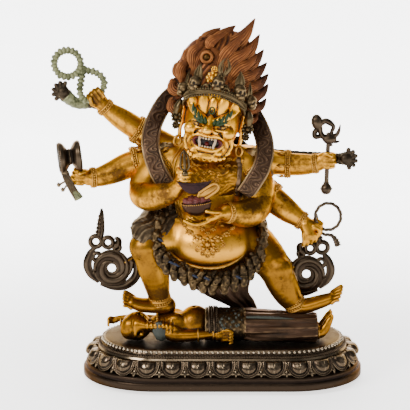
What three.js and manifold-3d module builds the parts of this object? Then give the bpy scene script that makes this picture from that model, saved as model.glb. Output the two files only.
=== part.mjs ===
// A six-armed protector figure of partly gilt copper, striding on a reclining
// elephant-headed figure over a lotus plinth, with the things held in its hands.
// Millimetres, +Z up, the viewer looks along +Y, the origin is the middle of the underside.

import * as THREE from 'three';
import { mergeVertices } from 'three/addons/utils/BufferGeometryUtils.js';
import Module from 'manifold-3d';

const wasm = await Module();
wasm.setup();

// Plinth
const plinthWidth = 226;
const plinthDepth = 120;
const plinthHeight = 30;
const platformWidth = 193;
const platformDepth = 96;
const footHeight = 7.7;
const stepHeight = 4.4;
const stepInset = 3.2;
const beadRadius = 1.5;
const petalCount = 28;
const petalHeight = 13.6;
const petalRelief = 4.4;

// Figure, from the platform to the tip of its flaming hair
const figureHeight = 256;

// Things in its hands
const staffRadius = 1.9;
const staffLength = 42;
const staffBelowGrip = 22.8;
const nooseWire = 1.4;
const nooseRadius = 10.2;
const nooseOffset = [10.8, 10.2]; // from the grip to the middle of the ring, across and up
const rosaryRadius = 2.7;
const rosaryLoopRadius = 11;
const drumLength = 16.5;
const drumRadius = 12.4;
const drumWaist = 5.6;
const cupRadius = 12;
const cupHeight = 11;
const cupWall = 1.8;
const bladeLength = 28.5;
const bladeDepth = 11;
const bladeThickness = 2;

// Scarf
const scarfWidth = 14;
const scarfThickness = 2.2;
const scrollRadius = 15.8;
const scrollEye = 3.7;
const scrollThickness = 4.4;

const seat = 0.35; // clear gap between pieces that touch

// Positions and carving of the figures are hundredths of the figure's height.
const share = (n) => (n * figureHeight) / 100;
const at = (x, y, z) => new THREE.Vector3(x, y, z).multiplyScalar(figureHeight / 100);
const facing = new THREE.Vector3(0, 1, 0);
const upward = new THREE.Vector3(0, 0, 1);

function solid(geometry) {
  const bare = geometry.clone();
  bare.deleteAttribute('normal');
  bare.deleteAttribute('uv');
  const merged = mergeVertices(bare, 1e-4);
  return new wasm.Manifold(
    new wasm.Mesh({
      numProp: 3,
      vertProperties: merged.attributes.position.array,
      triVerts: new Uint32Array(merged.index.array),
    }),
  );
}

const join = (parts) => parts.reduce((whole, part) => whole.add(part));

// A closed skin over rings of points, with a point at either end.
function skin(first, rings, last) {
  const sides = rings[0].length;
  const points = [first, ...rings.flat(), last];
  const index = [];
  const corner = (ring, side) => 1 + ring * sides + (side % sides);
  for (let side = 0; side < sides; side++) {
    index.push(0, corner(0, side + 1), corner(0, side));
    for (let ring = 0; ring + 1 < rings.length; ring++) {
      index.push(corner(ring, side), corner(ring, side + 1), corner(ring + 1, side));
      index.push(corner(ring, side + 1), corner(ring + 1, side + 1), corner(ring + 1, side));
    }
    const end = rings.length - 1;
    index.push(corner(end, side), corner(end, side + 1), points.length - 1);
  }
  const geometry = new THREE.BufferGeometry().setFromPoints(points);
  geometry.setIndex(index);
  const made = solid(geometry);
  if (made.volume() > 0) return made;
  for (let i = 0; i < index.length; i += 3) [index[i], index[i + 1]] = [index[i + 1], index[i]];
  geometry.setIndex(index);
  return solid(geometry);
}

// A tapering limb through stations [x, y, z, half width, half depth], depth being along the view.
function limb(stations, options = {}) {
  const { sides = 8, steps = stations.length - 1, grow = 0, ref = facing, square = false } = options;
  const centres = new THREE.CatmullRomCurve3(stations.map(([x, y, z]) => at(x, y, z)));
  const spans = new THREE.CatmullRomCurve3(stations.map(([, , , w, d = w]) => at(w, d, 0)));
  const rings = [];
  for (let step = 0; step <= steps; step++) {
    const t = step / steps;
    const along = centres.getTangent(t);
    const across = along.clone().cross(ref).normalize();
    const through = across.clone().cross(along);
    const span = spans.getPoint(t);
    const centre = centres.getPoint(t);
    const ring = [];
    for (let side = 0; side < sides; side++) {
      const a = ((side + 0.5) / sides) * Math.PI * 2;
      const reach = square ? Math.SQRT2 : 1;
      ring.push(
        centre
          .clone()
          .addScaledVector(across, Math.cos(a) * (span.x + grow) * reach)
          .addScaledVector(through, Math.sin(a) * (span.y + grow) * reach),
      );
    }
    rings.push(ring);
  }
  const swell = (t) => (square ? 0.02 : 0.4) * Math.min(spans.getPoint(t).x, spans.getPoint(t).y) + grow;
  const first = centres.getPoint(0).addScaledVector(centres.getTangent(0), -swell(0));
  const last = centres.getPoint(1).addScaledVector(centres.getTangent(1), swell(1));
  return skin(first, rings, last);
}

// A row of lobes run together along a path, such as fingers, toes or strung heads.
function lobes(path, count, { waist = 0.6, sides = 5, ref = facing } = {}) {
  const centres = new THREE.CatmullRomCurve3(path.map(([x, y, z]) => new THREE.Vector3(x, y, z)));
  const spans = new THREE.CatmullRomCurve3(path.map(([, , , w, d = w]) => new THREE.Vector3(w, d, 0)));
  const stations = Array.from({ length: 2 * count + 1 }, (_, i) => {
    const t = i / (2 * count);
    const p = centres.getPointAt(t);
    const span = spans.getPoint(t);
    const full = i % 2 ? 1 : waist;
    return [p.x, p.y, p.z, span.x * full, span.y * full];
  });
  return limb(stations, { sides, ref });
}

// A body built of level slices [height, x, y, half width, half depth].
function slices(levels, sides) {
  const rings = levels.map(([z, x, y, w, d]) =>
    Array.from({ length: sides }, (_, side) => {
      const a = (side / sides) * Math.PI * 2;
      return at(x + Math.cos(a) * w, y + Math.sin(a) * d, z);
    }),
  );
  const dome = 0.4;
  const [low, high] = [levels[0], levels[levels.length - 1]];
  return skin(at(low[1], low[2], low[0] - dome), rings, at(high[1], high[2], high[0] + dome));
}

// A ball or egg at [x, y, z] with half sizes [a, b, c], turned by Euler angles in degrees.
function egg([x, y, z], [a, b, c], { turn = [0, 0, 0], wide = 6, high = 4, frame = null } = {}) {
  const ball = new THREE.SphereGeometry(1, wide, high).rotateX(Math.PI / 2);
  ball.scale(share(a), share(b), share(c));
  const spin = new THREE.Euler(...turn.map(THREE.MathUtils.degToRad));
  ball.applyMatrix4(new THREE.Matrix4().makeRotationFromEuler(spin));
  ball.translate(...at(x, y, z).toArray());
  if (frame) ball.applyMatrix4(frame);
  return solid(ball);
}

// The point and outward heading at a distance round a stadium outline, from the middle of its front.
function roundStadium(width, depth, distance) {
  const radius = depth / 2;
  const reach = (width - depth) / 2;
  const arc = Math.PI * radius;
  const round = (x, turn) => [x + Math.cos(turn) * radius, Math.sin(turn) * radius, turn];
  const stretches = [
    [reach, (s) => [s, -radius, -Math.PI / 2]],
    [arc, (s) => round(reach, s / radius - Math.PI / 2)],
    [2 * reach, (s) => [reach - s, radius, Math.PI / 2]],
    [arc, (s) => round(-reach, s / radius + Math.PI / 2)],
    [reach, (s) => [s - reach, -radius, -Math.PI / 2]],
  ];
  let left = distance;
  for (const [length, place] of stretches) {
    if (left <= length) return place(left);
    left -= length;
  }
  return stretches[0][1](0);
}

// The plinth: a stepped foot, a ring of hanging lotus petals and the moulding that carries the beads.
function lotusPlinth() {
  const petalFoot = footHeight + stepHeight;
  const petalTop = petalFoot + petalHeight;
  const beadLow = plinthHeight - 2 * beadRadius;
  const endLean = (plinthWidth - platformWidth) / (plinthDepth - platformDepth);
  const inset = (n) => [plinthWidth - 2 * n * stepInset * endLean, plinthDepth - 2 * n * stepInset];
  const neck = [platformWidth - beadRadius, platformDepth - beadRadius];
  const levels = [
    { size: [plinthWidth, plinthDepth], z: 0 },
    { size: [plinthWidth, plinthDepth], z: footHeight },
    { size: inset(1), z: footHeight + 0.8 },
    { size: inset(1), z: petalFoot - 0.6 },
    { size: inset(2), z: petalFoot, swell: [0, 0.5] },
    { size: inset(2.1), z: petalFoot + petalHeight * 0.25, swell: [0, 1] },
    { size: inset(2.5), z: petalFoot + petalHeight * 0.65, swell: [0, 0.95] },
    { size: neck, z: Math.min(petalTop, beadLow), swell: [0, 0.1] },
    { size: [platformWidth + 2 * beadRadius, platformDepth + 2 * beadRadius], z: beadLow + beadRadius },
    { size: [platformWidth, platformDepth], z: plinthHeight },
  ];
  const columns = 3 * petalCount;
  const rings = levels.map(({ size: [width, depth], z, swell = [0, 0] }) => {
    const lap = 2 * (width - depth) + Math.PI * depth;
    return Array.from({ length: columns }, (_, i) => {
      const crest = i % 3 === 1 ? 0 : 1;
      const [x, y, heading] = roundStadium(width, depth, ((i + 0.5) / columns) * lap);
      const out = swell[crest] * petalRelief;
      return new THREE.Vector3(x + Math.cos(heading) * out, y + Math.sin(heading) * out, z);
    });
  });
  return skin(new THREE.Vector3(0, 0, 0), rings, new THREE.Vector3(0, 0, plinthHeight));
}

// Limbs of the striding figure: [x, y, z, half width, half depth].
const arms = {
  upperRight: [
    [-13, 4.5, 57, 4.4],
    [-19.5, 5, 60.6, 4],
    [-25.5, 4.2, 64.4, 3.7],
    [-31.2, 3.4, 68.2, 3.6],
    [-36.4, 2.4, 72, 2.7],
    [-38.8, 1.9, 75, 2.2],
  ],
  middleRight: [
    [-12, 3.5, 55.5, 4.8],
    [-19.6, 2.6, 55.7, 4.5],
    [-28.2, 0.8, 54.8, 4.3],
    [-34.4, -0.8, 52.2, 3.7],
    [-40.6, -2.3, 50.8, 2.8],
    [-43.8, -3.2, 51.4, 2.2],
  ],
  lowerRight: [
    [-14.5, -0.5, 56, 5.2],
    [-22.2, -1.5, 52.2, 4.7],
    [-24.6, -5.2, 47, 4.4],
    [-21.6, -10.6, 46.2, 4.2],
    [-15.4, -15.8, 48.8, 2.9],
    [-13, -17.6, 51.6, 2.2],
  ],
  upperLeft: [
    [6, 4, 56.5, 4.6],
    [13, 4.4, 54.9, 4],
    [19.6, 4, 54.2, 3.6],
    [25, 3.2, 54, 3.4],
    [29.4, 2.2, 54.5, 2.8],
    [32, 1.5, 55.6, 2.2],
  ],
  middleLeft: [
    [5.5, 2, 52.5, 4.8],
    [11.2, 2, 48.4, 4.3],
    [15.4, 0.9, 43.8, 4.1],
    [19.6, -0.7, 40.6, 3.8],
    [25, -1.8, 37, 2.9],
    [28, -2.5, 35, 2.2],
  ],
  lowerLeft: [
    [7, -0.5, 55.4, 5.2],
    [10.6, -2, 49.6, 4.7],
    [10.6, -5.4, 43.6, 4.6],
    [7.4, -10.2, 41.4, 4.5],
    [0.8, -14.8, 42.4, 2.9],
  ],
};
// Where each armlet sits, as shares of its arm's length.
const armletSpan = {
  upperRight: [0.3, 0.4],
  middleRight: [0.34, 0.43],
  upperLeft: [0.27, 0.36],
  middleLeft: [0.3, 0.4],
};
const armletLip = 0.7;

const legs = {
  rightThigh: [
    [-11, 0.6, 32.4, 8.6, 8],
    [-18, -5, 33, 6.9, 6.4],
    [-23.8, -9.8, 31.2, 4.8, 4.8],
  ],
  right: [
    [-23, -10, 30.6, 4.8, 4.8],
    [-22, -9.4, 24.6, 4.6, 4.8],
    [-20.4, -6.8, 17.6, 3.6, 3.8],
    [-19.6, -5.2, 11.6, 2.8, 2.9],
  ],
  left: [
    [4, 1, 30.5, 8, 8],
    [12.8, -2.8, 26.4, 6, 6],
    [16.4, -6, 21.2, 5, 5],
    [20, -5.4, 14.6, 4.4, 4.6],
    [23.2, -4, 10, 2.7, 2.8],
  ],
};
const feet = {
  right: [
    [-15.6, -4.3, 10.8, 2, 2.6],
    [-20, -5, 10.8, 2.3, 3.1],
    [-25.4, -6.2, 11.1, 1.9, 3.2],
    [-28.8, -7, 12.4, 1.5, 2.9],
  ],
  left: [
    [21.6, -3.4, 9.8, 2, 2.6],
    [26.4, -4.4, 10.6, 2.2, 3],
    [31, -5.3, 12, 1.8, 3.1],
    [34, -6, 13.2, 1.4, 2.8],
  ],
};
const toeTips = { right: [-31.3, -7.4, 14], left: [36.6, -6.4, 14.9] };

function foot(name, grow = 0) {
  return limb(feet[name], { sides: 7, grow });
}

function toes(name) {
  const [x, y, z] = feet[name][3];
  const [tx, ty, tz] = toeTips[name];
  const spread = 2.9;
  const reach = Math.abs(tx - x) * 0.62;
  const middle = [(x + tx) / 2, (y + ty) / 2, (z + tz) / 2];
  const row = [-spread, 0, spread].map((step) => [middle[0], middle[1] + step, middle[2], reach, 1.1]);
  return lobes(row, 5, { waist: 0.62, sides: 4, ref: upward });
}

// A closed hand at [x, y, z]: four fingers in a row along the bar that it grips.
const fistRadius = 2.45;
function fist([x, y, z], bar, reach) {
  const centre = new THREE.Vector3(x, y, z);
  const along = new THREE.Vector3(...bar).normalize();
  const outward = new THREE.Vector3(...reach).normalize();
  const knuckle = (step) => {
    const p = centre.clone().addScaledVector(along, step).addScaledVector(outward, 0.3);
    return [p.x, p.y, p.z, fistRadius];
  };
  return lobes([knuckle(-fistRadius), knuckle(fistRadius)], 4, { waist: 0.84, ref: outward });
}

const grips = {
  upperRight: { at: [-39, 1.8, 75.2], bar: [-0.8, 0, -0.6], reach: [-0.6, 0, 0.8] },
  middleRight: { at: [-44.4, -3.3, 51.6], bar: [0.3, -0.2, 1], reach: [-1, -0.3, 0.1] },
  upperLeft: { at: [32.4, 1.4, 55.6], bar: [0, 0, 1], reach: [1, 0, 0.1] },
  middleLeft: { at: [28.6, -2.6, 34.6], bar: [0.2, 1, 0.2], reach: [0.75, 0, -0.6] },
  lowerRight: { at: [-11.9, -18.3, 53.8], bar: [0.1, 0, 1], reach: [0.4, -0.9, 0] },
};

// The head sits in its own frame: leaned to its left and turned a little to its right.
const headCentre = at(-3.3, -4.4, 68);
const headFrame = new THREE.Matrix4()
  .makeTranslation(headCentre)
  .multiply(new THREE.Matrix4().makeRotationFromEuler(new THREE.Euler(0.06, 0.16, -0.1, 'ZYX')));

function head() {
  const part = (place, size, { turn, wide = 6, high = 4 } = {}) =>
    egg(place, size, { turn, wide, high, frame: headFrame });
  const pair = ([x, y, z], size, options = {}) =>
    [-1, 1].map((side) => {
      const [a, b, c] = options.turn ?? [0, 0, 0];
      return part([side * x, y, z], size, { ...options, turn: [a, b * side, c * side] });
    });
  const face = join([
    part([0, 0, 0.6], [8.9, 8.7, 9.3], { wide: 10, high: 8 }),
    part([0, -3.4, -5.6], [6, 5.3, 4.8], { wide: 8, high: 5 }), // jaw
    part([0, -8.2, 5], [1, 1, 1.3], { wide: 5, high: 3 }), // third eye
    part([0, -9.2, -0.8], [2, 2.2, 1.5], { wide: 5 }), // nose
    part([0, -8.6, -2.9], [4.4, 1.6, 1], { high: 3 }), // upper lip
    ...pair([5.4, -6, -0.9], [2.6, 2.6, 2.4], { wide: 5 }), // cheeks
    ...pair([3.7, -7.3, 3.4], [3.4, 2.2, 1.3], { turn: [0, -24, -16], wide: 5, high: 3 }), // brows
    ...pair([3.5, -7.2, 0.9], [1.7, 1.5, 1.2], { wide: 5, high: 3 }), // eyes
    ...pair([8.8, -0.4, 1.2], [1.2, 1.8, 3.2], { wide: 5, high: 3 }), // ears
    ...pair([9.2, -0.8, -3.4], [1.3, 1.4, 2.8], { wide: 5, high: 3 }), // ear ornaments
  ]);
  const mouth = part([-0.2, -9.4, -5.2], [3.6, 2.8, 2]);
  return face.subtract(mouth);
}

// The diadem with its five skulls, each under a leaf-shaped finial.
function crown() {
  const radius = 9;
  const onBand = (turn, height, size) => {
    const spot = new THREE.Vector3(Math.sin(turn) * radius, -Math.cos(turn) * radius, height);
    const placed = spot.multiplyScalar(share(1)).applyMatrix4(headFrame).divideScalar(share(1));
    return [placed.x, placed.y, placed.z, size, size];
  };
  const sweep = [-1.8, -1.2, -0.6, 0, 0.6, 1.2, 1.8].map((turn) => onBand(turn, 8.6, 2.3));
  const skulls = lobes(sweep, 5, { waist: 0.5, sides: 6, ref: upward });
  const leaves = [-1.44, -0.72, 0, 0.72, 1.44].map((turn) => {
    const leaf = new THREE.ConeGeometry(share(1.5), share(5.4), 4).rotateX(Math.PI / 2);
    leaf.translate(share(Math.sin(turn) * radius), share(-Math.cos(turn) * radius * 0.96), share(12.6));
    return solid(leaf.applyMatrix4(headFrame));
  });
  return join([skulls, ...leaves]);
}

// One S-curved lock of flame from its root to its tip, bellied to one side.
function flame([rx, ry, rz], [tx, ty, tz], belly, width, depth = width * 0.7) {
  const [dx, dz] = [tx - rx, tz - rz];
  const place = (t, off) => [rx + dx * t - dz * off, ry + (ty - ry) * t, rz + dz * t + dx * off];
  return limb(
    [
      [rx, ry, rz, width * 0.6, depth * 0.7],
      [...place(0.34, belly), width, depth],
      [...place(0.72, belly * 0.3), width * 0.6, depth * 0.6],
      [tx, ty, tz, 0.2, 0.2],
    ],
    { sides: 5 },
  );
}

// The hair stands up as one mass of flames, round-backed on its right and swept to points on its left.
const flameEdge = [
  { tip: [10.6, 70.6], valley: [8.6, 67.6] },
  { tip: [13.2, 75.5], valley: [10.2, 72.4] },
  { tip: [13.7, 80], valley: [11, 77] },
  { tip: [13.9, 83.3], valley: [11.4, 80.9] },
  { tip: [13.3, 86.5], valley: [11.2, 84.2] },
  { tip: [12.3, 90.7], valley: [10.2, 87.6] },
  { tip: [11.1, 95], valley: [8.8, 91.6] },
  { tip: [9.8, 99.8], valley: [7.4, 95.6] },
  { tip: [4.1, 98], valley: [5, 96.4] },
  { tip: [-0.8, 97.1], valley: [0.6, 95.8] },
  { tip: [-6.8, 95.4], valley: [-4.4, 94.6] },
  { tip: [-11.6, 92.4], valley: [-9.4, 92] },
  { tip: [-15, 87.5], valley: [-13.2, 87.8] },
  { tip: [-17.1, 82], valley: [-15.4, 82.6] },
  { tip: [-17.2, 75.4], valley: [-15.8, 76.8] },
  { tip: [-12.6, 68.4], valley: [-14.8, 71] },
];

function hair() {
  const [cx, cz] = [-2.4, 81.4];
  const edge = flameEdge.flatMap(({ tip, valley }) => [valley, tip]);
  const ring = (scale, y) => edge.map(([x, z]) => at(cx + (x - cx) * scale, y, cz + (z - cz) * scale));
  const mass = skin(
    at(cx, -5.6, cz),
    [ring(0.5, -4.4), ring(0.82, -1.8), ring(1, 1.6), ring(0.7, 8.4)],
    at(cx, 10.6, cz),
  );
  const front = [
    [[-7, -3.4, 82], [-5.2, -4.4, 92], 0.16, 2.6],
    [[-2.4, -3.2, 86], [3, -2.4, 95], 0.16, 2.6],
    [[-11.4, -2.4, 78.4], [-10, -3.4, 87], 0.2, 2.3],
  ];
  return join([mass, ...front.map((lock) => flame(...lock))]);
}

// Neck, chest, pot belly and the hanging skin, which sweeps down to a point behind the stride.
function torso() {
  const levels = [
    [seat / share(1) + 0.4, 9.9, 5.4, 1.5, 1.2],
    [6.2, 9.8, 4.6, 1.9, 1.5],
    [9.2, 6, 3, 5.2, 2.2],
    [12.6, 1.6, 1.4, 7.6, 3.2],
    [16.8, -2, 0, 10.4, 5.4],
    [20.6, -3.2, -1.2, 13, 8.4],
    [25, -4.2, -2.6, 14.2, 11],
    [31, -4.3, -3.6, 14.4, 12.4],
    [36, -4.5, -3, 13, 11.4],
    [40.4, -4.7, -1.6, 11.4, 9.2],
    [46, -4.7, -0.8, 11.8, 8.6],
    [52, -4.4, 0, 12.4, 8.2],
    [56.4, -3.8, 0.6, 10.4, 7.2],
    [59.4, -3.4, 0.2, 6, 5.4],
    [63, -3.2, -0.6, 5.6, 5.4],
  ];
  return slices(levels, 12);
}

// Severed heads strung round the hips.
const garlandPath = [
  [-19.6, 1, 37.6],
  [-20, -4, 33.6],
  [-18.4, -8.6, 28.8],
  [-13.8, -11.4, 24.4],
  [-7.3, -12.4, 20.9],
  [-0.3, -12, 19.7],
  [6.2, -10.2, 22],
  [10.6, -6.6, 27],
  [11.6, -2.6, 33],
  [10.4, 2, 37.4],
];

function garland() {
  return lobes(garlandPath.map((p) => [...p, 2.1, 2.1]), 19, { waist: 0.66, sides: 4, ref: upward });
}

function armlets() {
  return Object.entries(armletSpan).map(([name, [from, to]]) => {
    const centres = new THREE.CatmullRomCurve3(arms[name].map(([x, y, z]) => new THREE.Vector3(x, y, z)));
    const radii = new THREE.CatmullRomCurve3(arms[name].map(([, , , r]) => new THREE.Vector3(r, 0, 0)));
    return limb(
      [from, to].map((t) => {
        const p = centres.getPoint(t);
        return [p.x, p.y, p.z, radii.getPoint(t).x + armletLip];
      }),
      { sides: 6 },
    );
  });
}

// The middle left hand's palm hangs below the fist that holds the noose.
function hangingPalm() {
  return limb([[26, -3.4, 36, 2.4], [27.6, -4.2, 32.6, 2.2], [26.8, -4, 29.4, 1]], { sides: 5 });
}

// The lower left hand lies open under the cup.
function openHand() {
  const palm = [
    [1.2, -15.2, 42.6, 2.7, 2],
    [-3.4, -17.4, 41.2, 3.6, 1.5],
    [-7.6, -18.8, 39.4, 3.2, 0.9],
  ];
  const thumb = limb([[-1.4, -18, 43, 1.1], [-5, -23.2, 41.6, 0.8]], { sides: 4 });
  return limb(palm, { sides: 7, ref: upward }).add(thumb);
}

function striding() {
  return join([
    torso(),
    ...Object.values(arms).map((stations) => limb(stations, { sides: 6 })),
    ...armlets(),
    limb(legs.rightThigh, { sides: 7 }),
    limb(legs.right, { sides: 7, steps: 4 }),
    limb(legs.left, { sides: 7, steps: 5 }),
    foot('right'),
    foot('left'),
    toes('right'),
    toes('left'),
    garland(),
    ...Object.values(grips).map((grip) => fist(grip.at, grip.bar, grip.reach)),
    hangingPalm(),
    openHand(),
    head(),
    crown(),
    hair(),
  ]);
}

function trident(grow = 0) {
  const [x, y, z] = grips.upperLeft.at;
  const butt = z - staffBelowGrip / share(1);
  const radius = staffRadius / share(1);
  const top = butt + staffLength / share(1);
  const shaft = limb([[x, y, butt, radius], [x + 0.5, y, top, radius * 0.9]], { sides: 6, grow });
  if (grow) return shaft;
  const prong = (points) => limb(points.map(([px, pz, r]) => [px, y, pz, r]), { sides: 3 });
  return join([
    shaft,
    egg([x, y, butt], [1.8, 1.8, 1.9]),
    egg([x + 0.8, y, 62.4], [2.3, 1.4, 2.1]),
    prong([[32.6, 62.8, 1], [30.6, 64, 0.9], [30, 67, 1.2]]),
    egg([29.3, y, 67.6], [1.9, 1.6, 2.7], { turn: [0, -12, 0] }),
    prong([[29.8, 66, 0.7], [28.6, 64.4, 0.8], [29.4, 63.2, 0.8], [31.4, 63.8, 0.6]]),
    prong([[30, 67, 0.9], [33, 67.6, 0.9], [34.4, 66.2, 0.6], [33.8, 64.4, 0.6], [34.6, 62.8, 0.8]]),
    prong([[34, 62.6, 0.8], [35.6, 64.2, 0.7], [36.4, 66.8, 0.3]]),
    prong([[34, 61.8, 0.6], [36.4, 61.6, 0.3]]),
  ]);
}

// A closed ring of wire round [x, y, z], seen full face from the front.
function hoop([x, y, z], radius, wire, { tall = 1, steps = 16, grow = 0 } = {}) {
  const ring = new THREE.TorusGeometry(radius, wire + grow, 4, steps).rotateX(Math.PI / 2);
  return solid(ring.scale(1, 1, tall).translate(...at(x, y, z).toArray()));
}

function noose(grow = 0) {
  const [x, y, z] = grips.middleLeft.at;
  const wire = nooseWire / share(1);
  const [across, up] = nooseOffset.map((n) => n / share(1));
  const tail = [
    [0.6, 1.6, wire],
    [2.6, -1.4, wire],
    [6, -2.4, wire],
    [7.6, -5.6, wire * 1.4],
  ];
  return join([
    hoop([x + across, y, z + up], nooseRadius, nooseWire, { tall: 1.06, steps: 14, grow }),
    limb(tail.map(([dx, dz, r]) => [x + dx, y, z + dz, r]), { sides: 4, grow }),
  ]);
}

function skullRosary(grow = 0) {
  const depth = grips.upperRight.at[1] - 0.1;
  const strand = (route, steps) =>
    limb(route.map(([x, z]) => [x, depth, z, rosaryRadius / share(1)]), { sides: 4, steps, grow });
  const overHand = [
    [-50.4, 82.2],
    [-47.4, 81.8],
    [-43.8, 83.4],
    [-40.4, 83.5],
    [-37.6, 82],
    [-36.6, 79.4],
    [-38, 76.2],
  ];
  const intoHand = [
    [-43, 84.6],
    [-43.8, 80.6],
    [-44.2, 77],
    [-43, 74.6],
    [-40, 74.8],
  ];
  return join([
    hoop([-47.9, depth - 0.3, 85.9], rosaryLoopRadius, rosaryRadius, { grow }),
    strand(overHand, 8),
    strand(intoHand, 5),
  ]);
}

// An hourglass drum; from its waist hang a link, a sash and a striker.
function handDrum(grow = 0) {
  const half = drumLength / 2;
  const profile = [
    [0, -half],
    [drumRadius * 0.88, -half],
    [drumRadius, -half * 0.8],
    [drumWaist, -half * 0.12],
    [drumWaist, half * 0.12],
    [drumRadius, half * 0.8],
    [drumRadius * 0.88, half],
    [0, half],
  ].map(([r, h]) => {
    const cap = Math.abs(h) === half ? Math.sign(h) * grow : 0;
    return new THREE.Vector2(r > 0 ? r + 1.6 * grow : 0, h + cap);
  });
  const drum = new THREE.LatheGeometry(profile, 12).rotateZ(Math.PI / 2);
  drum.rotateY(-0.1).rotateZ(0.18).translate(...at(-47.2, -4.7, 57.8).toArray());
  const cords = [
    [[-47.4, -5.2, 56, 1], [-48.6, -6.6, 52.6, 1.1, 0.8]],
    [[-48.6, -6.6, 53, 1.1, 0.7], [-46.8, -6.8, 49, 1.4, 0.7], [-44.4, -6.6, 45.2, 1.7, 0.7]],
    [[-48.4, -6.6, 51, 0.5], [-49.6, -6.6, 49.8, 0.5], [-50.4, -6.6, 49.4, 0.95]],
  ];
  return join([solid(drum), ...cords.map((route) => limb(route, { sides: 4, grow }))]);
}

// A crescent flaying knife above the cup: an upright handle in the hand, a tongue at its tip.
function flayingKnife(grow = 0) {
  const [bx, by, bz] = [-8.6, -20.6, 52.6];
  const half = bladeLength / 2 + grow;
  const outline = new THREE.Shape();
  outline.moveTo(-half, 1.5 + grow);
  outline.quadraticCurveTo(-half * 0.2, -bladeDepth * 1.55 - 2 * grow, half * 0.7, -bladeDepth * 0.25 - grow);
  outline.quadraticCurveTo(half * 0.95, 0.6, half, 2.4 + grow);
  outline.quadraticCurveTo(0, -2.4 + 2 * grow, -half, 1.5 + grow);
  const blade = new THREE.ExtrudeGeometry(outline, {
    depth: bladeThickness + 2 * grow,
    bevelEnabled: false,
    curveSegments: 8,
  });
  blade.translate(0, 0, -grow).rotateX(Math.PI / 2).translate(...at(bx, by, bz).toArray());
  const handle = [
    [-11.4, by, 51.6, 0.8],
    [-11.5, by, 56, 0.9],
    [-11.6, by, 57.8, 1.8],
    [-11.7, by, 60.4, 1.7],
    [-11.8, by, 62.4, 0.5],
  ];
  const tongue = [
    [-7, by - 0.3, 50.4, 0.9],
    [-5.6, by - 0.5, 49.2, 1.1],
    [-2.4, by - 0.6, 51.4, 1.2],
  ];
  return join([solid(blade), ...[handle, tongue].map((route) => limb(route, { sides: 6, grow }))]);
}

// A skull-shaped cup; grown, it is a filled blank that clears the hand.
function skullCup(grow = 0) {
  const outer = [
    [0, -cupHeight],
    [cupRadius * 0.5, -cupHeight * 0.93],
    [cupRadius * 0.84, -cupHeight * 0.62],
    [cupRadius, -cupHeight * 0.2],
    [cupRadius, 0],
  ];
  const inner = outer.map(([r, h]) => [Math.max(0, r - cupWall), h + cupWall]).reverse();
  const filled = [...outer.map(([r, h]) => [r ? r + grow : 0, h - grow]), [0, grow]];
  const closed = grow ? filled : [...outer, ...inner.slice(1)];
  const bowl = new THREE.LatheGeometry(closed.map(([r, h]) => new THREE.Vector2(r, h)), 12);
  bowl.rotateX(Math.PI / 2).scale(1, 0.86, 1).translate(...at(-8.1, -19.6, 46.6).toArray());
  return solid(bowl);
}

// The flayed elephant hide: spread over the back, its feet drawn forward to the two upper hands.
const hideLegs = [
  [
    [-10, 11.2, 55.4, 3.4, 1.2],
    [-18, 10.6, 58.8, 2.6, 1.1],
    [-26.7, 9.4, 64.6, 2.1, 1],
    [-34.5, 7.3, 70, 1.9, 1],
    [-39.8, 5.2, 73, 1.6, 1.2],
    [-45.4, 3.4, 73.4, 1.6, 1.4],
    [-50.2, 1.8, 77.4, 2.5, 1.5],
  ],
  [
    [2, 11.2, 55, 3.4, 1.2],
    [12, 10.6, 55.6, 2.5, 1.1],
    [21, 9.2, 55.4, 2.1, 1],
    [28.6, 6.9, 55.4, 2, 1],
    [33, 5.4, 55.8, 1.7, 1.2],
    [36.4, 3, 55.9, 1.7, 1.4],
    [39.4, 1.6, 56.2, 2.6, 1.5],
  ],
];

function hideFeet() {
  return [
    { from: [-50.8, 1.8, 77.4], out: [-0.86, 0.5] },
    { from: [40, 1.6, 56.2], out: [1, 0.05] },
  ].map(({ from: [x, y, z], out: [ox, oz] }) => {
    const claws = [-2.6, 0, 2.6].map((k) => {
      const reach = 1.5 - Math.abs(k) * 0.45;
      return [x + ox * reach - oz * k, y, z + oz * reach + ox * k, 1.5, 1.6];
    });
    return lobes(claws, 5, { waist: 0.7, sides: 4 });
  });
}

function mantle() {
  const levels = [
    [16, -3.4, 4.4, 8.2, 0.4, 0.8],
    [22, -4.2, 8.4, 9.8, 2, 1.4],
    [32, -4.8, 10, 10, 2.8, 1.6],
    [42, -4.6, 10.6, 8.4, 3, 1.8],
    [50, -4.4, 12, 9.4, 0.8, 1.8],
    [57, -4, 13.6, 9.9, 0.4, 1.8],
    [62, -3.8, 9, 9.6, 0.6, 1.4],
  ];
  const rings = levels.map(([z, x, half, back, sag, thick]) => {
    const row = [-1, -0.5, 0, 0.5, 1];
    const inner = row.map((k) => at(x + k * half, back - sag * k * k, z));
    const outer = [...row].reverse().map((k) => at(x + k * (half + 0.2), back - sag * k * k + thick, z));
    return [...inner, ...outer];
  });
  const [foot, top] = [levels[0], levels[levels.length - 1]];
  return skin(at(foot[1], foot[3] + 0.4, foot[0] - 0.3), rings, at(top[1], top[3] + 0.6, top[0] + 0.3));
}

function elephantHide() {
  return join([mantle(), ...hideLegs.map((stations) => limb(stations, { sides: 5 })), ...hideFeet()]);
}

// The scarf: one ribbon arched behind the head, its two ends brought forward over the shoulders.
const scarfPath = [
  [-18.2, -8.2, 51],
  [-20.3, -7.8, 54],
  [-22, -6.8, 59.4],
  [-22.2, -3.8, 64],
  [-20.8, 1.4, 68.8],
  [-17.2, 7.4, 74],
  [-10.6, 12.4, 78.4],
  [-4, 14, 79.6],
  [2.6, 13.2, 76.8],
  [8, 8.8, 71.4],
  [11.8, 1.6, 65.4],
  [13.2, -3.6, 60.4],
  [12.2, -7, 55.4],
  [10, -8.2, 51.4],
  [8, -8.7, 48.6],
];

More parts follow.
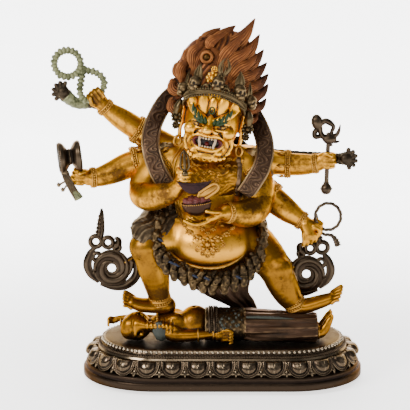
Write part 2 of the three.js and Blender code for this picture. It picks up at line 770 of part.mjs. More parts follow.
function shoulderScarf() {
  const [w, d] = [scarfWidth / 2 / share(1), scarfThickness / 2 / share(1)];
  return limb(
    scarfPath.map(([x, y, z]) => [x, y, z, w * 0.72, d]),
    { sides: 4, steps: 22, square: true },
  );
}

// The band that carries a scarf end: behind the leg and into a slot in the hip.
function scrollBand(mirror, grow = 0) {
  const route = mirror
    ? [[22.6, 2.4, 20.4], [18, 5, 25.4], [10.4, 6.4, 30.6], [7, 5.4, 31.6]]
    : [[-30.8, 2.4, 22], [-25.6, 4.6, 24.6], [-18, 6, 29], [-13.8, 5.4, 30]];
  return limb(route.map((p) => [...p, 1.7, 0.6]), { sides: 4, grow });
}

// A scarf end: cast scrollwork of one great volute, smaller curls above it and a berried spike.
function scrollEnd(mirror) {
  const centre = mirror ? [26.6, 2.4, 19.1] : [-35, 2.4, 21];
  const side = mirror ? -1 : 1;
  const half = scrollThickness / 2;
  const spot = (dx, dz) => [centre[0] + side * dx, centre[1], centre[2] + dz];
  const ringProfile = [
    [scrollEye, -half],
    [scrollRadius, -half * 0.8],
    [scrollRadius, half * 0.8],
    [(scrollRadius + scrollEye) / 2, half * 0.5],
    [scrollEye, half],
    [scrollEye, -half],
  ].map(([r, h]) => new THREE.Vector2(r, h));
  const wheel = new THREE.LatheGeometry(ringProfile, 12).rotateX(Math.PI);
  wheel.translate(...at(...centre).toArray());
  const curl = (dx, dz, radius) => {
    const ring = new THREE.TorusGeometry(share(radius), share(0.85), 4, 7).rotateX(Math.PI / 2);
    return solid(ring.translate(...at(...spot(dx, dz)).toArray()));
  };
  const spike = [
    [...spot(-3.8, 8.6), 1.6, 0.8],
    [...spot(-3.1, 14.8), 1.5, 0.9],
    [...spot(-3, 19.2), 0.4, 0.4],
  ];
  const bulge = [
    [...spot(-5, -3), 0.9, 0.7],
    [...spot(-7.2, 1.2), 1.5, 0.8],
    [...spot(-5.2, 6), 1.2, 0.7],
  ];
  return join([
    solid(wheel),
    curl(-4.8, 8.2, 1.9),
    curl(-1.2, 8.2, 1.7),
    limb(spike, { sides: 4 }),
    limb(bulge, { sides: 4 }),
    scrollBand(mirror),
  ]);
}

// The elephant-headed figure on its back: head to its right, dressed from waist to ankle.
function trampled() {
  const trunk = [
    [-24, -9.4, 5.4, 1.6],
    [-18.6, -10.6, 5, 1.3],
    [-11.4, -9.8, 3.6, 0.7],
  ];
  const skirt = [
    [-8, -5.2, 4.9, 5.2, 6.8],
    [2, -5.2, 4.8, 5, 6.8],
    [15, -5.2, 4.4, 4.6, 6.2],
    [28, -5.2, 4.1, 4.3, 5.6],
  ];
  const parts = [
    egg([-26.4, -5.6, 4.8], [4.6, 5, 4.7], { wide: 8, high: 5 }), // head
    limb(trunk, { sides: 5, steps: 3 }),
    egg([-18.4, -9.6, 2.6], [3, 1.1, 2.3]), // ear
    egg([-15.6, -5.2, 4.7], [8, 5.6, 4.6], { wide: 8, high: 5 }), // chest
    egg([-8.6, -5.2, 5.4], [5, 5.6, 5.4], { wide: 8, high: 6 }), // belly
    limb([[-16.4, -9, 3.4, 2], [-9.4, -11, 2.8, 1.8], [-1.4, -11, 3.1, 1.5]], { sides: 5 }),
    egg([0.4, -11.2, 3.2], [1.9, 1.5, 1.7]), // near hand
    limb([[-16, -1, 3.6, 2], [-26, 1.4, 3.4, 1.8], [-35, 1, 4, 1.5]], { sides: 5 }),
    egg([-36, 0.8, 3.4], [1.8, 1.4, 2.8]), // far hand
    limb(skirt),
  ];
  const soles = [-8, -2.4].map((y) =>
    limb(
      [
        [27, y, 3.4, 2],
        [30.4, y, 2.7, 1.8],
        [32.4, y, 5.2, 1.2, 1.8],
        [33.9, y, 8.4, 0.6, 1.3],
      ],
      { sides: 5 },
    ),
  );
  const [wide, deep, high] = [share(100), share(60), share(40)];
  const aboveFloor = new THREE.BoxGeometry(wide, deep, high).translate(0, 0, high / 2 + seat);
  const feetOnIt = foot('right', seat).add(foot('left', seat));
  return join([...parts, ...soles]).intersect(solid(aboveFloor)).subtract(feetOnIt);
}

const finishes = {
  gilt: { color: 0xc8912f, roughness: 0.38, metalness: 0.9 },
  bronze: { color: 0x3a2b22, roughness: 0.5, metalness: 0.7 },
  hide: { color: 0x33302a, roughness: 0.6, metalness: 0.5 },
  verdigris: { color: 0x9aa382, roughness: 0.8, metalness: 0.1 },
};

const group = new THREE.Group();

function show(name, finish, made, height = 0) {
  const raw = made.getMesh();
  const geometry = new THREE.BufferGeometry();
  geometry.setAttribute('position', new THREE.BufferAttribute(new Float32Array(raw.vertProperties), 3));
  geometry.setIndex(new THREE.BufferAttribute(new Uint32Array(raw.triVerts), 1));
  geometry.computeVertexNormals();
  const mesh = new THREE.Mesh(geometry, new THREE.MeshStandardMaterial(finishes[finish]));
  mesh.name = name;
  mesh.position.z = height;
  group.add(mesh);
}

// The figure is cut clear of everything it holds and of what is let into it.
const held = join([trident, noose, skullRosary, handDrum, flayingKnife, skullCup].map((make) => make(seat)));
const hideInHand = join(hideLegs.map((stations) => limb(stations, { sides: 5, grow: seat })));
const bandSlots = scrollBand(false, seat).add(scrollBand(true, seat));
const figure = striding().subtract(join([held, hideInHand, bandSlots]));

show('lotus_plinth', 'bronze', lotusPlinth());
show('trampled_figure', 'gilt', trampled(), plinthHeight);
show('striding_figure', 'gilt', figure, plinthHeight);
show('elephant_hide', 'hide', elephantHide(), plinthHeight);
show('shoulder_scarf', 'bronze', shoulderScarf(), plinthHeight);
show('scarf_end_right', 'bronze', scrollEnd(false), plinthHeight);
show('scarf_end_left', 'bronze', scrollEnd(true), plinthHeight);
show('skull_rosary', 'verdigris', skullRosary(), plinthHeight);
show('hand_drum', 'bronze', handDrum(), plinthHeight);
show('trident', 'bronze', trident(), plinthHeight);
show('noose', 'bronze', noose(), plinthHeight);
show('flaying_knife', 'bronze', flayingKnife(), plinthHeight);
show('skull_cup', 'bronze', skullCup(), plinthHeight);

export default group;
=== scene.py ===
# A six-armed protector of partly gilt copper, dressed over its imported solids.
# Places on the figures are hundredths of the figure's height, measured from the middle of the platform.
import math

import bpy
import numpy as np
from mathutils import Euler, Matrix, Vector


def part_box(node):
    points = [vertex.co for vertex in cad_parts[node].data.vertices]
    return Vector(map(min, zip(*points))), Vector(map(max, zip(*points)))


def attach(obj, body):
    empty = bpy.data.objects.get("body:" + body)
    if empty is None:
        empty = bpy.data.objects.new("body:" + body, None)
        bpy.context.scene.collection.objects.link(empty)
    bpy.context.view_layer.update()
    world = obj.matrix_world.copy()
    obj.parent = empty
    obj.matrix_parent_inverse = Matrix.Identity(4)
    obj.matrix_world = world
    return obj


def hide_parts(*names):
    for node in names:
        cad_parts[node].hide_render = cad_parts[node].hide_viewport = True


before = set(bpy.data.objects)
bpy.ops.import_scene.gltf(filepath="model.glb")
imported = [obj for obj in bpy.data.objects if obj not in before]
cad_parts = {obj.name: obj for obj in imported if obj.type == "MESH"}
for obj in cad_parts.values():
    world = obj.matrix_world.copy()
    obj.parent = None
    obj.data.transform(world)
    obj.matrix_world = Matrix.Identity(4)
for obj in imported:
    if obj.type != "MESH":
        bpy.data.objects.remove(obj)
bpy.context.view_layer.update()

figure = {
    "height": 0.256,  # platform to the tip of the hair, metres
    "ground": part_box("lotus_plinth")[1].z,
}
unit = figure["height"] / 100
noTris = np.empty((0, 3), int)


def placed(name, data):
    made = bpy.data.objects.new(name, data)
    bpy.context.scene.collection.objects.link(made)
    return made


# Meshes are kept as (points, faces of four, faces of three) until they are finished.
def merged(parts):
    points, quads, tris, start = [], [], [], 0
    for co, four, three in parts:
        points.append(co)
        quads.append(np.asarray(four, int).reshape(-1, 4) + start)
        tris.append(np.asarray(three, int).reshape(-1, 3) + start)
        start += len(co)
    return np.concatenate(points), np.concatenate(quads), np.concatenate(tris)


def moved(shape, matrix):
    co, quads, tris = shape
    m = np.array(matrix)
    return co @ m[:3, :3].T + m[:3, 3], quads, tris


def meshOf(name, shape):
    co, quads, tris = shape
    mesh = bpy.data.meshes.new(name)
    loops = np.concatenate([quads.ravel(), tris.ravel()]).astype(np.int32)
    sizes = np.repeat([4, 3], [len(quads), len(tris)])
    starts = np.concatenate([[0], np.cumsum(sizes)[:-1]]).astype(np.int32)
    mesh.vertices.add(len(co))
    mesh.vertices.foreach_set("co", np.ascontiguousarray(co, np.float32).ravel())
    mesh.loops.add(len(loops))
    mesh.loops.foreach_set("vertex_index", loops)
    mesh.polygons.add(len(sizes))
    mesh.polygons.foreach_set("loop_start", starts)
    mesh.polygons.foreach_set("use_smooth", np.ones(len(sizes), bool))
    mesh.update(calc_edges=True)
    mesh.validate()
    return mesh


def readAll(items, key, width, kind=np.float32):
    values = np.empty(len(items) * width, kind)
    items.foreach_get(key, values)
    return values.reshape(-1, width)


# How hollow (+) or raised (-) each point lies, for the dirt and painted shade in the grooves and the rubbed
# edges with their painted highlights.
def markHollows(mesh, rounds, scale):
    co = readAll(mesh.vertices, "co", 3).astype(float)
    ends = readAll(mesh.edges, "vertices", 2, np.int32)
    here, there = np.concatenate([ends, ends[:, ::-1]]).T
    near = np.maximum(np.bincount(here, minlength=len(co)), 1)
    soft = co
    for _ in range(rounds):
        pull = [np.bincount(here, weights=soft[there, axis], minlength=len(co)) for axis in range(3)]
        soft = 0.4 * soft + 0.6 * np.stack(pull, -1) / near[:, None]
    depth = ((soft - co) * readAll(mesh.vertex_normals, "vector", 3)).sum(1) / scale
    layer = mesh.attributes.new("hollow", "FLOAT", "POINT")
    layer.data.foreach_set("value", np.clip(depth, -1, 1).astype(np.float32))


# Makes a shape, or a list of shapes, into one finished piece that dresses a solid.
def addPiece(name, parts, finish, node="striding_figure", scale=0.0006, rounds=6, place=None, slot=None,
             inMetres=False):
    shape = merged(parts) if isinstance(parts, list) else parts
    co, quads, tris = moved(shape, place) if place else shape
    if not inMetres:
        co = co * unit + (0, 0, figure["ground"])
    mesh = meshOf(name, (co, quads, tris))
    markHollows(mesh, rounds, scale)
    mesh.materials.append(finishes[finish])
    piece = placed(name, mesh)
    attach(piece, "root")
    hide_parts(node)
    slot or slots.get(finish, "brown_bronze")


# A smooth run through stations of any length, the first three numbers being a place.
def smoothRun(stations, steps):
    p = np.asarray(stations, float)
    p = np.concatenate([[2 * p[0] - p[1]], p, [2 * p[-1] - p[-2]]])
    at = np.linspace(0, len(stations) - 1, steps + 1)
    i = np.minimum(at.astype(int), len(stations) - 2)
    t = (at - i)[:, None]
    a, b, c, d = p[i], p[i + 1], p[i + 2], p[i + 3]
    return 0.5 * (2 * b + (c - a) * t + (2 * a - 5 * b + 4 * c - d) * t**2 + (3 * b - a - 3 * c + d) * t**3)


def unitRows(v):
    return v / np.maximum(np.linalg.norm(v, axis=-1, keepdims=True), 1e-9)


# A skin over rings of points: closed round, or capped at two end points.
def ringShell(rings, caps=None):
    count, sides = rings.shape[:2]
    ring, side = np.meshgrid(np.arange(count - (caps is not None)), np.arange(sides), indexing="ij")
    onward, after = (ring + 1) % count * sides, (side + 1) % sides
    quads = np.stack([ring * sides + side, onward + side, onward + after, ring * sides + after], -1)
    co, quads = rings.reshape(-1, 3), quads.reshape(-1, 4)
    if caps is None:
        return co, quads, noTris
    around = np.arange(sides)
    after, end, first = (around + 1) % sides, (count - 1) * sides, np.full(sides, len(co))
    tris = np.concatenate([np.stack([first, around, after], -1),
                           np.stack([first + 1, end + after, end + around], -1)])
    return np.concatenate([co, caps]), quads, tris


# A skin swept along a run of [x, y, z, half width, half depth]. ref sets which way the depth looks.
def swept(run, sides=10, ref=(0, 1, 0), closed=False, ridges=0, ridgeDepth=0.1, square=False, twist=0.0):
    run = np.asarray(run, float)
    centre, half = run[:, :3], run[:, [3, -1]]
    if closed:
        along = np.roll(centre, -1, 0) - np.roll(centre, 1, 0)
    else:
        along = np.gradient(centre, axis=0)
    along = unitRows(along)
    across = unitRows(np.cross(along, np.asarray(ref, float)))
    through = np.cross(across, along)
    turn = (np.arange(sides) + 0.5) / sides * 2 * np.pi
    lift = 1 + ridgeDepth * np.cos(turn * ridges) if ridges else np.ones(sides)
    cosine, sine = np.cos(turn), np.sin(turn)
    if square:
        cosine, sine = np.sign(cosine) * np.abs(cosine) ** 0.35, np.sign(sine) * np.abs(sine) ** 0.35
    spin = twist * np.arange(len(run))[:, None]
    wide = half[:, :1] * (cosine * lift * np.cos(spin) - sine * lift * np.sin(spin))
    deep = half[:, 1:] * (cosine * lift * np.sin(spin) + sine * lift * np.cos(spin))
    rings = centre[:, None] + across[:, None] * wide[..., None] + through[:, None] * deep[..., None]
    if closed:
        return ringShell(rings)
    bulge = along[[0, -1]] * half[[0, -1]].min(1, keepdims=True) * [[-0.3], [0.3]]
    return ringShell(rings, centre[[0, -1]] + bulge)


def tube(stations, steps, sides, **more):
    return swept(smoothRun(stations, steps), sides, **more)


# A cord of one radius, or of one pair of halves, along a path.
def cord(path, radius, sides=8, **more):
    return swept(np.column_stack([path, np.tile(radius, (len(path), 1))]), sides, **more)


def turnsOf(steps):
    return np.linspace(0, 2 * np.pi, steps + 1)[:-1]


def levelCircle(radius, height=0.0, steps=24):
    turns = turnsOf(steps)
    return np.column_stack([np.cos(turns) * radius, np.sin(turns) * radius, np.full(steps, height)])


def ringOf(centre, radius, wire, sides=9, steps=48, tall=1.0, **more):
    spots = [[centre[0] + radius * math.cos(a), centre[1], centre[2] + radius * tall * math.sin(a), wire]
             for a in turnsOf(steps)]
    return swept(spots, sides, closed=True, **more)


# Turns a closed shape's faces outwards by the sign of its volume.
def outward(shape):
    co, quads, tris = shape
    three = np.concatenate([quads[:, [0, 1, 2]], quads[:, [0, 2, 3]], tris])
    a, b, c = (co[three[:, k]] for k in range(3))
    if (a * np.cross(b, c)).sum() < 0:
        return co, quads[:, ::-1], tris[:, ::-1]
    return shape


# A closed shell between a front and a rear grid of points.
def gridShell(front, rear):
    down, w = front.shape[0] - 1, front.shape[1]
    j, i = np.meshgrid(np.arange(down), np.arange(w - 1), indexing="ij")
    a, count = (j * w + i).ravel(), (down + 1) * w
    face = np.stack([a, a + 1, a + w + 1, a + w], -1)
    back = np.stack([a, a + w, a + w + 1, a + 1], -1) + count
    rim = np.concatenate([np.arange(w), np.arange(2, down + 2) * w - 1,
                          (down * w + np.arange(w - 1))[::-1], (np.arange(1, down) * w)[::-1]])
    following = np.roll(rim, -1)
    side = np.stack([following, rim, rim + count, following + count], -1)
    co = np.concatenate([front.reshape(-1, 3), rear.reshape(-1, 3)])
    return outward((co, np.concatenate([face, back, side]), noTris))


# A sheet of some thickness lofted over rows of points; relief(u, v) moves it, carving(u, v) only its front.
def sheetOver(rows, across, down, thick, relief=None, carving=None, ends=12):
    rows = np.array([smoothRun(row, across) for row in rows])
    grid = np.stack([smoothRun(rows[:, i], down) for i in range(across + 1)], 1)
    normal = unitRows(np.cross(np.gradient(grid, axis=1), np.gradient(grid, axis=0)))
    if normal[..., 1].mean() > 0:
        normal = -normal
    v, u = np.meshgrid(np.linspace(0, 1, down + 1), np.linspace(0, 1, across + 1), indexing="ij")
    margin = np.minimum(np.minimum(u, 1 - u) * ends, np.minimum(v, 1 - v) * down / across * ends)
    full = np.clip(margin, 0, 1) ** 0.5
    half = thick / 2 * (0.15 + 0.85 * full)
    if relief:
        grid = grid + normal * (relief(u, v) * full)[..., None]
    cut = carving(u, v) * full if carving else 0 * u
    return gridShell(grid + normal * (half + cut)[..., None], grid - normal * half[..., None])


# A strap of some width following a run, its face carved.
def strap(run, width, thick, across, down, relief=None, carving=None):
    path = smoothRun(run, 40)
    side = unitRows(np.cross(np.gradient(path, axis=0), (0, 1, 0)))
    rows = [[p - s * width / 2, p, p + s * width / 2] for p, s in zip(path, side)]
    return sheetOver(rows, across, down, thick, relief, carving)


# A profile of [radius, height] turned about the upright.
def turned(profile, sides):
    profile = np.array(profile, float)
    angles = np.arange(sides) / sides * 2 * np.pi
    rings = np.stack([profile[:, :1] * np.cos(angles), profile[:, :1] * np.sin(angles),
                      np.repeat(profile[:, 1:], sides, 1)], -1)
    return outward(ringShell(rings, [[0, 0, profile[0, 1]], [0, 0, profile[-1, 1]]]))


# Modelling in clay: a grid of distances, pressed and carved by simple shapes, then skinned.
class Clay:
    def __init__(self, low, high, grain):
        self.low, self.grain = np.array(low, float), grain
        self.shape = np.ceil((np.array(high, float) - self.low) / grain).astype(int) + 1
        self.field = np.full(self.shape, 9.0, np.float32)
        self.axes = [self.low[i] + grain * np.arange(self.shape[i]) for i in range(3)]

    def window(self, low, high, margin):
        first = np.floor((np.asarray(low) - margin - self.low) / self.grain).astype(int)
        last = np.ceil((np.asarray(high) + margin - self.low) / self.grain).astype(int) + 1
        first, last = np.clip(first, 0, self.shape), np.clip(last, 0, self.shape)
        box = tuple(slice(a, b) for a, b in zip(first, last))
        x, y, z = (self.axes[i][box[i]].astype(np.float32) for i in range(3))
        return box, x[:, None, None], y[None, :, None], z[None, None, :]

    def press(self, shape, soft=0.8, way=1):
        low, high, distance = shape
        box, x, y, z = self.window(low, high, soft + 2 * self.grain)
        old, new = self.field[box] * way, distance(x, y, z)
        blend = np.clip(1 - np.abs(old - new) / soft, 0, 1) ** 2 * (soft / 4)
        self.field[box] = (np.minimum(old, new) - blend) * way

    # Presses forms in turn, or carves those whose softness is negative. A form is a ball's centre, radii and
    # turn or a limb's stations, steps and flatness, after its softness; side -1 mirrors it.
    def sculpt(self, forms, side=1):
        for soft, where, *how in forms:
            if isinstance(where, list):
                shape = limb([(x * side, *rest) for x, *rest in where], *how)
            else:
                radii, (nod, tilt, spin) = how[0], how[1] if len(how) > 1 else (0, 0, 0)
                shape = ball((where[0] * side, *where[1:]), radii, (nod, tilt * side, spin * side))
            self.press(shape, abs(soft), 1 if soft > 0 else -1)

    def ripple(self, low, high, pattern):
        box, x, y, z = self.window(low, high, 0)
        self.field[box] += pattern(x, y, z).astype(np.float32)

    # Surface nets: one point in each cell that the surface crosses, one face on each edge it crosses.
    def skin(self):
        inside, cells = self.field < 0, self.shape - 1
        spots, faces = [], []
        for axis in range(3):
            one, two = [slice(None)] * 3, [slice(None)] * 3
            one[axis], two[axis] = slice(None, -1), slice(1, None)
            edge = np.argwhere(inside[tuple(one)] != inside[tuple(two)])
            u, v = (i for i in range(3) if i != axis)
            edge = edge[np.all([(edge[:, i] > 0) & (edge[:, i] < cells[i]) for i in (u, v)], axis=0)]
            step = np.eye(3, dtype=int)[axis]
            a, b = self.field[tuple(edge.T)], self.field[tuple((edge + step).T)]
            spot = edge.astype(float)
            spot[:, axis] += a / (a - b)
            corners = []
            for du, dv in ((1, 1), (0, 1), (0, 0), (1, 0)):
                cell = edge.copy()
                cell[:, u] -= du
                cell[:, v] -= dv
                corners.append((cell[:, 0] * cells[1] + cell[:, 1]) * cells[2] + cell[:, 2])
            quad = np.stack(corners, -1)
            inward = (a < 0) if axis == 1 else (a >= 0)
            quad[inward] = quad[inward][:, ::-1]
            faces.append(quad)
            spots.append(np.repeat(spot, 4, axis=0))
        spots, where = np.concatenate(spots), np.unique(np.concatenate(faces).ravel(), return_inverse=True)[1]
        hits = np.bincount(where)
        co = np.stack([np.bincount(where, weights=spots[:, i]) / hits for i in range(3)], -1)
        return co * self.grain + self.low, where.reshape(-1, 4), noTris


def ball(centre, radii, turn=(0, 0, 0)):
    centre, radii = np.array(centre, float), np.broadcast_to(np.asarray(radii, float), 3)
    basis = np.array(Euler([math.radians(a) for a in turn]).to_matrix())
    reach = np.abs(basis) @ radii

    def distance(x, y, z):
        away = (x - centre[0], y - centre[1], z - centre[2])
        local = [sum(basis[k][i] * away[k] for k in range(3) if abs(basis[k][i]) > 1e-6) for i in range(3)]
        near = np.sqrt(sum((local[i] / radii[i]) ** 2 for i in range(3)))
        steep = np.sqrt(sum((local[i] / radii[i] ** 2) ** 2 for i in range(3)))
        return near * (near - 1) / np.maximum(steep, 1e-4)

    return centre - reach, centre + reach, distance


# A round-ended limb through [x, y, z, radius]; flat squeezes it along one direction by a share.
def limb(stations, steps=None, flat=None):
    run = smoothRun(stations, steps or 3 * (len(stations) - 1))
    most = run[:, 3].max()
    squeeze = np.ones(3)
    if flat:
        squeeze[flat[0]] = 1 / flat[1]
    middle = run[:, :3].mean(0)
    path = (run[:, :3] - middle) * squeeze

    def distance(x, y, z):
        grid = [(axis - middle[i]) * squeeze[i] for i, axis in enumerate((x, y, z))]
        best = None
        for i in range(len(run) - 1):
            a, ab = path[i], path[i + 1] - path[i]
            t = sum((grid[k] - a[k]) * ab[k] for k in range(3)) / max(ab @ ab, 1e-9)
            t = np.clip(t, 0, 1)
            gap = np.sqrt(sum((grid[k] - a[k] - t * ab[k]) ** 2 for k in range(3)))
            gap = gap - (run[i, 3] + (run[i + 1, 3] - run[i, 3]) * t)
            best = gap if best is None else np.minimum(best, gap)
        return best

    return run[:, :3].min(0) - most, run[:, :3].max(0) + most, distance


# A trunk built of level ovals [z, x, y, half width, half depth].
def trunk(levels, steps=40):
    run = smoothRun(levels, steps)
    run = run[np.argsort(run[:, 0])]
    middle, half = run[:, 1:3], run[:, 3:5]

    def distance(x, y, z):
        cx, cy, w, d = (np.interp(z, run[:, 0], run[:, i]) for i in (1, 2, 3, 4))
        near = np.sqrt(((x - cx) / w) ** 2 + ((y - cy) / d) ** 2)
        side = (near - 1) * np.minimum(w, d)
        end = np.maximum(run[0, 0] - z, z - run[-1, 0])
        return np.maximum(side, end + 0 * side)

    return [*(middle - half).min(0), run[0, 0]], [*(middle + half).max(0), run[-1, 0]], distance


# Shader values written as sums: a Pin wraps a socket, and each operator adds its Math node.
class Pin:
    def __init__(self, maker, socket):
        self.maker, self.socket = maker, socket

    def __add__(self, other):
        return self.maker.math("ADD", self, other)

    def __sub__(self, other):
        return self.maker.math("SUBTRACT", self, other)

    def __mul__(self, other):
        return self.maker.math("MULTIPLY", self, other)

    def __rsub__(self, other):
        return self.maker.math("SUBTRACT", other, self)

    __radd__ = __add__
    __rmul__ = __mul__

    # 0 below low, 1 above high, smooth between
    def between(self, low, high):
        return self.maker.node("ShaderNodeMapRange", {"Value": self, "From Min": low, "From Max": high},
                               interpolation_type="SMOOTHSTEP", clamp=True)


# One method adds any node: its type, the values or links of its sockets, and its settings, set first.
class NodeMaker:
    def node(self, kind, values=None, output=0, **settings):
        made = self.tree.nodes.new(kind)
        for key, value in settings.items():
            setattr(made, key, value)
        for key, value in (values or {}).items():
            self.plug(made.inputs[key], value)
        return Pin(self, made.outputs[output])

    def plug(self, socket, value):
        if isinstance(value, Pin):
            self.tree.links.new(value.socket, socket)
        elif isinstance(value, (tuple, list)) and socket.type == "RGBA":
            socket.default_value = (*value[:3], 1)
        else:
            socket.default_value = value

    def math(self, operation, *values):
        return self.node("ShaderNodeMath", dict(enumerate(values)), operation=operation)


class Maker(NodeMaker):
    def __init__(self, name):
        self.material = bpy.data.materials.new(name)
        self.material.use_nodes = True
        self.tree = self.material.node_tree
        self.place = self.node("ShaderNodeTexCoord", output="Object")

    def noise(self, scale, detail=4.0, rough=0.6):
        return self.node("ShaderNodeTexNoise", {"Vector": self.place, "Scale": scale, "Detail": detail,
                                                "Roughness": rough})

    def hollow(self):
        return self.node("ShaderNodeAttribute", output="Fac", attribute_name="hollow")

    def blend(self, factor, first, second):
        return self.node("ShaderNodeMix", {0: factor, 6: first, 7: second}, 2, data_type="RGBA",
                         clamp_factor=True)

    def finish(self, values):
        for key, value in values.items():
            self.plug(self.tree.nodes["Principled BSDF"].inputs[key], value)
        return self.material


# Cast metal: a bright skin, rubbed dark in patches, with dirt and painted shade in its hollows and wear with
# painted highlights on its edges.
def castMetal(name, bright, worn, dirtAndShade, edge=None, metal=1.0, gloss=0.33, patches=0.6, dirtTo=0.7, grain=0.25,
              patchScale=38, fade=None, rim=1.0):
    maker = Maker(name)
    hollow = maker.hollow()
    cloud = maker.noise(patchScale, 6.0, 0.65)
    speck = maker.noise(420, 3.0, 0.6)
    wear = cloud + speck * 0.25
    tint = [rim * min(1, 0.45 + c * 0.6 / max(bright)) for c in bright]  # keeps grazing rims warm
    if fade:  # darker towards one side, but not within a reach of some point
        axis, way, start, span, share, shade, point, reach = fade
        along = maker.node("ShaderNodeSeparateXYZ", {0: maker.place}, axis)
        away = maker.node("ShaderNodeVectorMath", {0: maker.place, 1: point}, "Value", operation="DISTANCE")
        share = ((along - start) * way).between(0, span) * away.between(reach, reach + 0.006) * share
        bright = maker.blend(share, bright, shade)
        edge = maker.blend(share, edge, shade)
        wear = wear + share * 0.07
    patch = wear.between(patches, patches + 0.2)
    colour = maker.blend(patch, bright, worn)
    # raised edges turn lighter: rubbed wear and a painted highlight
    if edge:
        colour = maker.blend((hollow * -1.0 - 0.12).between(0, 0.6), colour, edge)
    # dirt and painted shade darken the hollows, mottled by the cloud
    grimeAndShade = (hollow + (cloud - 0.5) * 0.5).between(0.05, dirtTo)
    bump = maker.node("ShaderNodeBump",
                      {"Height": speck * 0.6 + cloud, "Strength": grain, "Distance": 0.0004})
    return maker.finish({
        "Base Color": maker.blend(grimeAndShade, colour, dirtAndShade), "Metallic": metal - grimeAndShade * (metal * 0.6),
        "Roughness": gloss + patch * 0.14 + grimeAndShade * 0.3 + (speck - 0.5) * 0.1, "Specular Tint": tint,
        "Normal": bump})


def paint(name, colour, dirtAndShade):
    maker = Maker(name)
    # dirt and painted shade darken the hollows of the paint
    grimeAndShade = (maker.hollow() + (maker.noise(160) - 0.5)).between(0.0, 0.9)
    return maker.finish({"Base Color": maker.blend(grimeAndShade, colour, dirtAndShade), "Roughness": 0.45,
                         "Specular IOR Level": 0.2})


